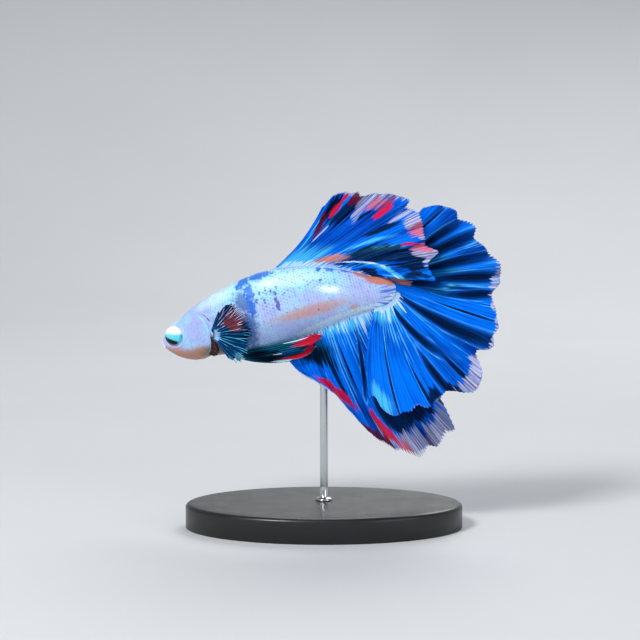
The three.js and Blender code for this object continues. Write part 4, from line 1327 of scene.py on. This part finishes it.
# %% Tail fin
TAIL_PATCHES = {
    "pleat_shadow": [(1.5, 6.4, 0.22, 3.4), (2.07, 5.4, 0.32, 4.6), (2.92, 5, 0.25, 5.4),
              (3.62, 6.8, 0.24, 4.4), (4.3, 7.4, 0.18, 3.4, 3), (3.9, 1.8, 0.4, 2.8),
              (5.8, 5, 0.3, 7.5, 2), (7.25, 2.8, 0.24, 3.6, 8), (7.52, 8, 0.14, 3.2),
              (6.85, 7.6, 0.08, 2.6), (8.12, 8.8, 0.05, 3.6), (9.05, 6, 0.04, 4.4),
              (0.72, 6, 0.08, 3.6), (5, 6.4, 0.05, 3.4)],
    "teal": [(2.8, 3, 1.3, 3.4), (3.9, 3.4, 0.7, 2.6)],
    "fin_shadow": [(7.9, 9.6, 0.2, 0.9), (7.3, 9.4, 0.2, 0.9)],
    "pale": [(8.35, 0.3, 0.14, 0.9), (6.75, 0.2, 0.14, 0.8)],
    "root": [(8.4, 0, 1.9, 1.6)],
    "glow": [(9.55, 9, 0.3, 1.2), (8.4, 0.3, 1.6, 0.9)],
    "cyan": [(2.57, 6.2, 0.2, 4), (3.35, 5, 0.25, 3.6), (3.9, 7, 0.14, 3.4), (6.2, 4.4, 0.3, 4.6),
             (9.5, 9.2, 0.35, 1.3), (7.6, 2.6, 0.25, 2.8), (8.6, 1.6, 0.9, 1.6)],
    "salmon": [(3.3, 0.3, 0.9, 0.9)],
    "mauve": [(6.75, 9.6, 0.6, 1), (6.35, 10, 0.3, 0.6), (3.75, 9.9, 0.5, 0.8),
              (4.8, 10, 1.3, 0.5)]}
add_fin("tail_fin", tail, TAIL_PATCHES, AZURE,
        levels=((14, 0.0), (28, 0.2), (56, 0.42), (112, 0.68)), columns=560, rows=82,
        seed=11, notch=0.012)

# %% Dorsal fin
def body_edge(start, end, side, sweep=0.0):
    """A base line along the back (+1) or the belly (-1), just clear of the skin. A ray starts
    at the share (1 - sweep) u + sweep u^3.5 of it, so sweep gathers the rays in front."""
    def base_at(u):
        u = np.clip(u, 0, 1)
        along = along_at(mix(start, end, (1 - sweep) * u + sweep * u ** 3.5))
        top, bottom, _, _ = section(along)
        return body_point(along, 0, top + 0.1 if side > 0 else bottom - 0.1)
    return base_at


DORSAL_FOLDS = [
    (0, 9.4, 18.6, .4), (.08, 12, 20.2, 1), (.18, 14.6, 20.4, .2), (.3, 18, 19.5, .9),
    (.38, 20.3, 18.8, -.4), (.48, 23.2, 17.8, .9), (.55, 25, 17, -.5), (.62, 27, 15.7, 1),
    (.68, 26.6, 14.1, -1), (.74, 28, 12.2, .9), (.79, 28.7, 9.8, -.8), (.84, 28.6, 7.6, .9),
    (.89, 28.2, 6, -.8), (.93, 29.5, 4.2, .8), (.965, 27.5, 2.4, -.6), (1, 28, -1.2, .5)]
dorsal = pleated(DORSAL_FOLDS, body_edge(-3, 15.4, 1, 0.65),
                 lean=through((0, .6), (.3, -.2), (.55, -1.6), (.75, -3.2), (1, -4.4)),
                 bow=through((0, -.9), (.5, -.4), (.85, .3), (1, -.2)),
                 pleat=0.75, flutes=40, frills=25)
DORSAL_PATCHES = {
    "root": [(3.5, 0, 4.5, 2)],
    "cyan": [(4.5, 1.6, 4.5, 1.8), (7.5, 5.2, 0.22, 2.8, -8), (8.2, 5.2, 0.2, 2.4, -11)],
    "glow": [(3.6, 0.6, 3.4, 2), (1.5, 4.2, 0.2, 2.6, 12), (7.45, 4.8, 0.12, 2, -8),
             (8.1, 4.8, 0.18, 2.6, -11), (9.5, 3.5, 0.2, 1.2, -18)],
    "pale": [(5, 0, 4, 0.8), (8.8, 2.4, 0.13, 1.8, -33)],
    "mauve": [(2.6, 4.8, 0.14, 0.9), (3.8, 8.3, 0.35, 2.1, 19), (2.5, 9.8, 0.7, 0.4),
              (4.3, 9.3, 0.8, 1.1), (5, 10, 1.2, 0.6), (6.87, 9, 0.2, 1.4), (7.5, 9.3, 0.35, 1),
              (8.25, 9.6, 0.3, 0.7), (9.15, 8.6, 0.25, 1.4), (9.35, 9.5, 0.3, 0.9)],
    "dusk": [(4.5, 5, 2.2, 2.4), (5.8, 5.8, 1.2, 2.8)],
    "fin_shadow": [(2.95, 7.2, 0.75, 2), (1.6, 8, 0.7, 1.6), (4.75, 7.3, 0.2, 0.7, -10),
             (6.98, 6.4, 0.2, 1.9, -8), (8.75, 5, 0.8, 4.6, -12), (9.6, 1.2, 0.5, 0.9)],
    "maroon": [(2.9, 9.2, 0.35, 0.8), (1.6, 6, 0.3, 1.8, 20)],
    "crimson": [(2.02, 7.8, 0.28, 0.85), (2.1, 9.25, 0.18, 0.5), (5.7, 8, 0.28, 1.15, 10),
                (8.58, 8.3, 0.13, 1, -9)],
    "pink": [(4.5, 8.5, 0.3, 0.8), (5.1, 9, 0.35, 0.8), (7.97, 9.3, 0.25, 1), (8.8, 8.9, 0.3, 1)],
    "salmon": [(7, 1.2, 0.7, 1.2, -38)]}
add_fin("dorsal_fin", dorsal, DORSAL_PATCHES, AZURE,
        levels=((20, 0.0), (40, 0.38), (80, 0.7)), columns=480, rows=90, seed=12,
        notch=0.012)

# %% Anal fin
ANAL_FOLDS = [
    (0, -4.8, -9.6, 0), (.08, -3.3, -12.6, .8), (.16, -1.2, -14.8, .2), (.25, 1.2, -17.3, 1),
    (.31, 3, -19.8, -1), (.37, 4.5, -22.7, .9), (.43, 6.2, -26.1, -.4), (.49, 8, -29.2, 1),
    (.55, 10.1, -31.5, -.9), (.61, 12.4, -33.6, .9), (.66, 14.6, -35, -.7),
    (.72, 17.2, -36, .8), (.77, 19.2, -35.3, -.8), (.83, 21.6, -34.3, .9), (.88, 24, -33, -.7),
    (.92, 24.1, -29.8, .8), (.96, 23.6, -26, -.6), (1, 22.4, -21, .4)]
anal = pleated(ANAL_FOLDS, body_edge(-6.4, 14.8, -1),
               lean=through((0, -.1), (.35, 0), (.6, 1.2), (.8, 2.6), (1, 3.6)),
               bow=through((0, -.2), (.4, -.9), (1, -1.2)), pleat=0.8, flutes=44, frills=33)
ANAL_PATCHES = {
    "root": [(6.8, 0, 4.2, 1.4)],
    "cyan": [(6.2, 1, 3.6, 1.2), (5.2, 4, 0.3, 3)],
    "fin_shadow": [(3.2, 2.8, 1.4, 1.6), (4.35, 3.8, 0.26, 2.8, -4), (6.9, 6.7, 0.75, 1.5),
             (8, 7, 1.4, 0.9), (9.6, 9, 0.25, 1.4), (9.7, 6, 0.4, 3)],
    "teal": [(3.8, 2.2, 0.9, 1.6)],
    "pleat_shadow": [(6.65, 3.4, 0.15, 2.6, 18), (5.6, 3.4, 0.1, 2.4)],
    "pale": [(8.25, 0.4, 0.25, 0.8), (3.3, 10, 2.4, 0.3), (1.6, 10, 2, 0.9)],
    "glow": [(6.6, 0.2, 3.2, 0.6)],
    "crimson": [(3.5, 7.4, 1.4, 0.9, -43), (5.95, 7.9, 0.32, 1.2, -9)],
    "maroon": [(5.1, 9.6, 0.9, 0.8)],
    "mauve": [(3, 10, 1.8, 0.5), (5.85, 8.8, 0.3, 1.6, -4), (7.5, 9.7, 1.9, 1.5),
              (8.9, 9.4, 0.6, 1.2)],
    "pink": [(6.5, 9.5, 0.25, 0.8)]}
add_fin("anal_fin", anal, ANAL_PATCHES, AZURE,
        levels=((22, 0.0), (44, 0.35), (88, 0.66)), columns=540, rows=84, seed=13)

# %% [markdown]
# ## Pectoral and ventral fins
#
# The pectoral fins are small fans of clear film, folded like a hand's fingers, and each is
# turned out from its flank by its own angle. They are the same pleated surface as the big fins,
# drawn flat and then turned. The ventral fins are long blades laid back along the belly, a few
# rays side by side, ending in a red tip. A blade has no folds, so it gets its own formula: a
# band of changing width round a curved line.

# %% The pectoral fin's surface
PECTORAL_FOLDS = [
    (50, 5.4, 0), (42, 7.8, .8), (34, 9.3, -.5), (24, 10, .8), (13, 10.3, -.5),
    (2, 10.2, .8), (-8, 10.3, -.5), (-18, 9.9, .8), (-29, 9.5, -.5), (-41, 9, .8),
    (-52, 8.6, -.4), (-60, 6.6, .2)]


def pectoral_surface(side, yaw):
    """A fan drawn in its own upright plane, then turned about +Z and set on the flank."""
    def base_at(u):
        way = np.radians(mix(70, -75, u))
        return PECTORAL["root"] * np.stack([np.cos(way), 0 * way, 1.2 * np.sin(way)], -1)
    flat = pleated(fan_folds(PECTORAL_FOLDS, (0, 0)), base_at,
                   lean=through((0, .9 * side), (.5, .3 * side), (1, .8 * side)),
                   bow=through((0, 0), (1, 0)), pleat=0.35, flutes=28, frills=15,
                   towards=1.0 * side)
    turn = -heading(PECTORAL["along"]) - math.radians(yaw)
    out = side * (flank_width(PECTORAL["along"]) + PECTORAL["clear"])
    centre = body_point(PECTORAL["along"], out, PECTORAL["up"])

    def surface(u, v):
        x, y, z = np.moveaxis(flat(u, v), -1, 0)
        return centre + np.stack([x * math.cos(turn) - y * math.sin(turn),
                                  x * math.sin(turn) + y * math.cos(turn), z], -1)
    surface.height = flat.height
    return surface


print("the left pectoral fin ends at", pectoral_surface(-1, PECTORAL["left"])(0.5, 1.0).round(1))

# %% Pectoral fins
CLEAR = (fin_finish("clear_film", tint=("01102e", "03284a", "0a5c88"), clear=0.1,
                    film_alpha=0.97, bare=0.4),
         fin_finish("clear_ribs", ribs=True, tint=("043e76", "0a66a0", "4cbade"), bare=0.6))
PECTORAL_PATCHES = {
    "pale": [(6.6, 0.2, 3.6, 0.8)],
    "rust": [(3.1, 6.2, 1.6, 2.6)],
    "fin_shadow": [(4.9, 8.9, 1, 2.4), (2, 9, 0.8, 1.6)],
    "cyan": [(8.2, 5.6, 2, 5)]}
PECTORAL_RAY_PATCHES = {
    "pale": [(6.6, 0.4, 3.6, 1.2)],
    "mauve": [(2.4, 6.6, 1.7, 4.6)],
    "rust": [(3.2, 5, 0.9, 1.6)],
    "cyan": [(7.2, 6, 3, 6)]}
for name, side, yaw in (("left", -1, PECTORAL["left"]), ("right", 1, PECTORAL["right"])):
    add_fin("pectoral_fin_" + name, pectoral_surface(side, yaw), PECTORAL_PATCHES, CLEAR,
            levels=((14, 0.0), (28, 0.5)), columns=300, rows=50, seed=14,
            thick=0.14, thin=0.07, notch=0.16, ray_patches=PECTORAL_RAY_PATCHES)

# %% The ventral fin's surface
VENTRAL_LEFT = [
    (0, -14.4, -5.9, .6, -.3), (.15, -11.6, -6.3, .85, -1), (.4, -7.2, -6.6, .95, -2),
    (.7, -1.9, -6.7, 1, -2.9), (.88, 1, -6.45, .95, -3.3), (1, 3.3, -5.8, .25, -3.4)]
VENTRAL_RIGHT = [
    (0, -14.2, -6.95, .5, 3.8), (.15, -11.6, -7.7, .75, 2), (.4, -7.6, -8.6, .8, -.2),
    (.7, -3.2, -8.9, .85, -1.6), (.9, -.4, -8.5, .75, -2.1), (1, 1.3, -7.8, .25, -2.2)]
BLADE_BULGE = 0.35


def blade_surface(stations):
    """A blade round a centre line: v runs along it and u across it, from -half to half; the
    edges curl to the left by the square of the distance from the middle."""
    x, z, half, y = (through(*((s[0], s[i]) for s in stations)) for i in (1, 2, 3, 4))

    def surface(u, v):
        u, v = np.broadcast_arrays(u, v)
        across = 2 * u - 1
        flute = 0.09 * np.sin(np.pi * 10 * u) * np.clip(v * 4, 0, 1)
        side = y(v) - BLADE_BULGE * across ** 2 * v + flute
        rooted = np.minimum(v, 0) * (x(1) - x(0))
        return np.stack([x(v) + rooted, side, z(v) - half(v) * across], -1)
    surface.height = lambda u: 0 * u
    return surface


print("the left blade ends at", blade_surface(VENTRAL_LEFT)(0.5, 1.0).round(1), "mm")

# %% Ventral fins
TEAL = (fin_finish("teal_film", tint=("011624", "023a52", "0b7f9e"), root="9fe2f2"),
        fin_finish("teal_ribs", ribs=True, tint=("023a52", "0a6f92", "4fd2ea")))
VENTRAL_LEFT_PATCHES = {
    "pale": [(5, 0, 5, 0.4), (1, 6.6, 0.8, 1.4), (2, 9.8, 1.2, 0.3)],
    "fin_shadow": [(7, 2.4, 2.6, 2), (9.4, 8, 0.8, 1.2)],
    "crimson": [(3.5, 8.6, 5, 2.1)],
    "pink": [(6.5, 7.6, 1.2, 1.8)]}
VENTRAL_RIGHT_PATCHES = {
    "pale": [(5, 0, 5, 0.4), (8.6, 5.2, 1.2, 1.4)],
    "fin_shadow": [(4, 3, 4, 2.4)],
    "crimson": [(6.4, 7.4, 2.6, 3), (4, 9.4, 4, 1)],
    "pink": [(8.4, 7, 0.8, 1.6)]}
for name, stations, patches in (("left", VENTRAL_LEFT, VENTRAL_LEFT_PATCHES),
                                ("right", VENTRAL_RIGHT, VENTRAL_RIGHT_PATCHES)):
    add_fin("ventral_fin_" + name, blade_surface(stations), patches, TEAL,
            levels=((5, 0.0), (10, 0.7)), columns=60, rows=220, seed=15, thick=0.12,
            thin=0.06, notch=0.04)

# %% [markdown]
# ## Gill frill
#
# Behind and under the gill cover's rear edge a dark frill of membrane shows, held by a few
# curved ribs. It is a narrow closed band that starts inside the cover and flares out past the
# rim, the same film function as the fins'.

# %% The membrane's surface
FRILL_START, FRILL_END = math.radians(-14), math.radians(-76)


def frill_surface(side):
    """A band along the gill cover's lower rear rim: u runs down it, v from inside the cover
    to past its edge. Its reach grows by 0.07 + 0.4 sin(pi u)^0.8 and it ripples."""
    def surface(u, v):
        u, v = np.broadcast_arrays(u, v)
        way = mix(FRILL_START, FRILL_END, u)
        reach = 0.93 + v * (0.07 + 0.4 * np.sin(np.pi * np.clip(u, 0, 1)) ** 0.8)
        along = GILL["along"] + GILL["long"] * reach * np.cos(way)
        up = (GILL["up"] + GILL["high"] * reach * np.sin(way)
              + GILL["slant"] * reach * np.cos(way))
        lowest = belly_line(along) + 0.25
        up = np.maximum(up, lowest)
        top, bottom, half, middle = section(along)
        share = np.clip((up - middle) / np.where(up > middle, top - middle, middle - bottom),
                        -0.985, 0.985)
        angle = np.pi - np.arcsin(share)
        lift = 0.06 + 0.16 * v + 0.05 * np.sin(np.pi * 12 * u) * v
        outward, height = oval(along, angle, lift)
        return body_point(along, outward * (1 if side < 0 else -1), height)
    surface.height = lambda u: 0 * u
    return surface


print("the frill's lower end is at", frill_surface(-1)(1.0, 1.0).round(1), "mm")

# %% Gill membranes
membrane = Finish("gill_membrane", Roughness=0.4, Specular_IOR_Level=0.2)
veins = membrane.noise(membrane.stretched(membrane.vector("fin"), (2.2, 2, 1)), 1.0, 3)
membrane.feed(Base_Color=membrane.blend("1c080b", "5a2420",
                                        membrane.step(veins, 0.4, 0.75)),
              Normal=membrane.bumps(veins, 0.00003))
for name, side in (("left", -1), ("right", 1)):
    surface = frill_surface(side)
    points, faces, uv, u, v = film(surface, columns=120, rows=16, rays=12, notch=0.02,
                                   seed=21, thickness=(0.08, 0.05))
    add_piece("gill_frill_" + name, points, faces, uv, fin_fields(u, v, 24, surface, {}),
              membrane.material)

# %% [markdown]
# ## The stand
#
# The stand is plain, so that it doesn't compete with the fish: an oval base of black lacquer
# with a soft edge, a polished rod, and a small cup shaped to the belly. The base and the rod
# are turned shapes, worked out finely enough that no facets show; the cup keeps its solid.

# %% Turned shapes
BASE = {"long": 56, "wide": 38, "high": 5, "edge": 0.8}
ROD = {"x": 0.0, "y": 2.0, "radius": 0.8, "top": 38.4}


def lathe(name, profile, sides, finish, stands_for, scale=(1, 1), centre=(0, 0)):
    """A profile (radius, height) turned about +Z, drawn out to an oval and moved to its
    centre. The profile starts and ends on the axis."""
    turn = 2 * np.pi * np.arange(sides) / sides
    radius, height = np.array(profile[1:-1]).T[:, :, None]
    rings = np.stack(np.broadcast_arrays(radius * np.cos(turn) * scale[0] + centre[0],
                                         radius * np.sin(turn) * scale[1] + centre[1],
                                         height), -1)
    poles = [[*centre, profile[0][1]], [*centre, profile[-1][1]]]
    faces = closed_faces(len(radius), sides)
    add_piece(name, np.concatenate([rings.reshape(-1, 3), poles]), faces,
              wrapped_uv(faces, sides, len(radius)), {}, finish, (stands_for,),
              to_place=lambda points: points * MM)


print("an oval of", BASE["long"], "by", BASE["wide"], "mm")

# %% Lacquer and steel
lacquer = Finish("black_lacquer", Specular_IOR_Level=0.3, Coat_Weight=0.3,
                 Coat_Roughness=0.2)
smudge = lacquer.noise(lacquer.here(), 160, 4, 0.6)
lacquer.feed(Base_Color=lacquer.blend("121214", "1a1a1d", smudge),
             Roughness=lacquer.step(smudge, 0.3, 0.7) * 0.12 + 0.38)
steel = Finish("polished_steel", Metallic=1.0)
brush = steel.noise(steel.stretched(steel.here(), (2600, 2600, 90)), 1.0, 3, 0.6)
steel.feed(Base_Color=steel.blend("b4b8bc", "d0d3d6", brush),
           Roughness=steel.step(brush, 0.3, 0.7) * 0.1 + 0.16)
print("finishes:", lacquer.material.name, steel.material.name)

# %% Base and rod
quarter = np.radians(np.linspace(0, 90, 8))
half_wide = BASE["wide"] / 2
edge = [(half_wide - BASE["edge"] * (1 - math.cos(t)),
         BASE["high"] - BASE["edge"] * (1 - math.sin(t))) for t in quarter]
top = [(half_wide * share, BASE["high"]) for share in (0.8, 0.5, 0.2, 0)]
foot = [(0, 0), (half_wide * 0.5, 0), (half_wide - 0.15, 0), (half_wide, 0.15)]
lathe("base", foot + edge + top, 240, lacquer.material, "stand_base",
      scale=(BASE["long"] / BASE["wide"], 1))
collar = [(0, 4.9), (1.7, 4.9), (1.7, 5.35), (1.55, 5.55), (0.95, 5.6), (0.8, 5.75)]
shaft = [(ROD["radius"], h) for h in np.linspace(8, ROD["top"], 6)] + [(0, ROD["top"])]
lathe("rod", collar + shaft, 64, steel.material, "stand_rod",
      centre=(ROD["x"], ROD["y"]))

# %% The cup keeps its solid
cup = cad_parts["stand_cup"]
cup.data.materials.clear()
cup.data.materials.append(steel.material)

# %% [markdown]
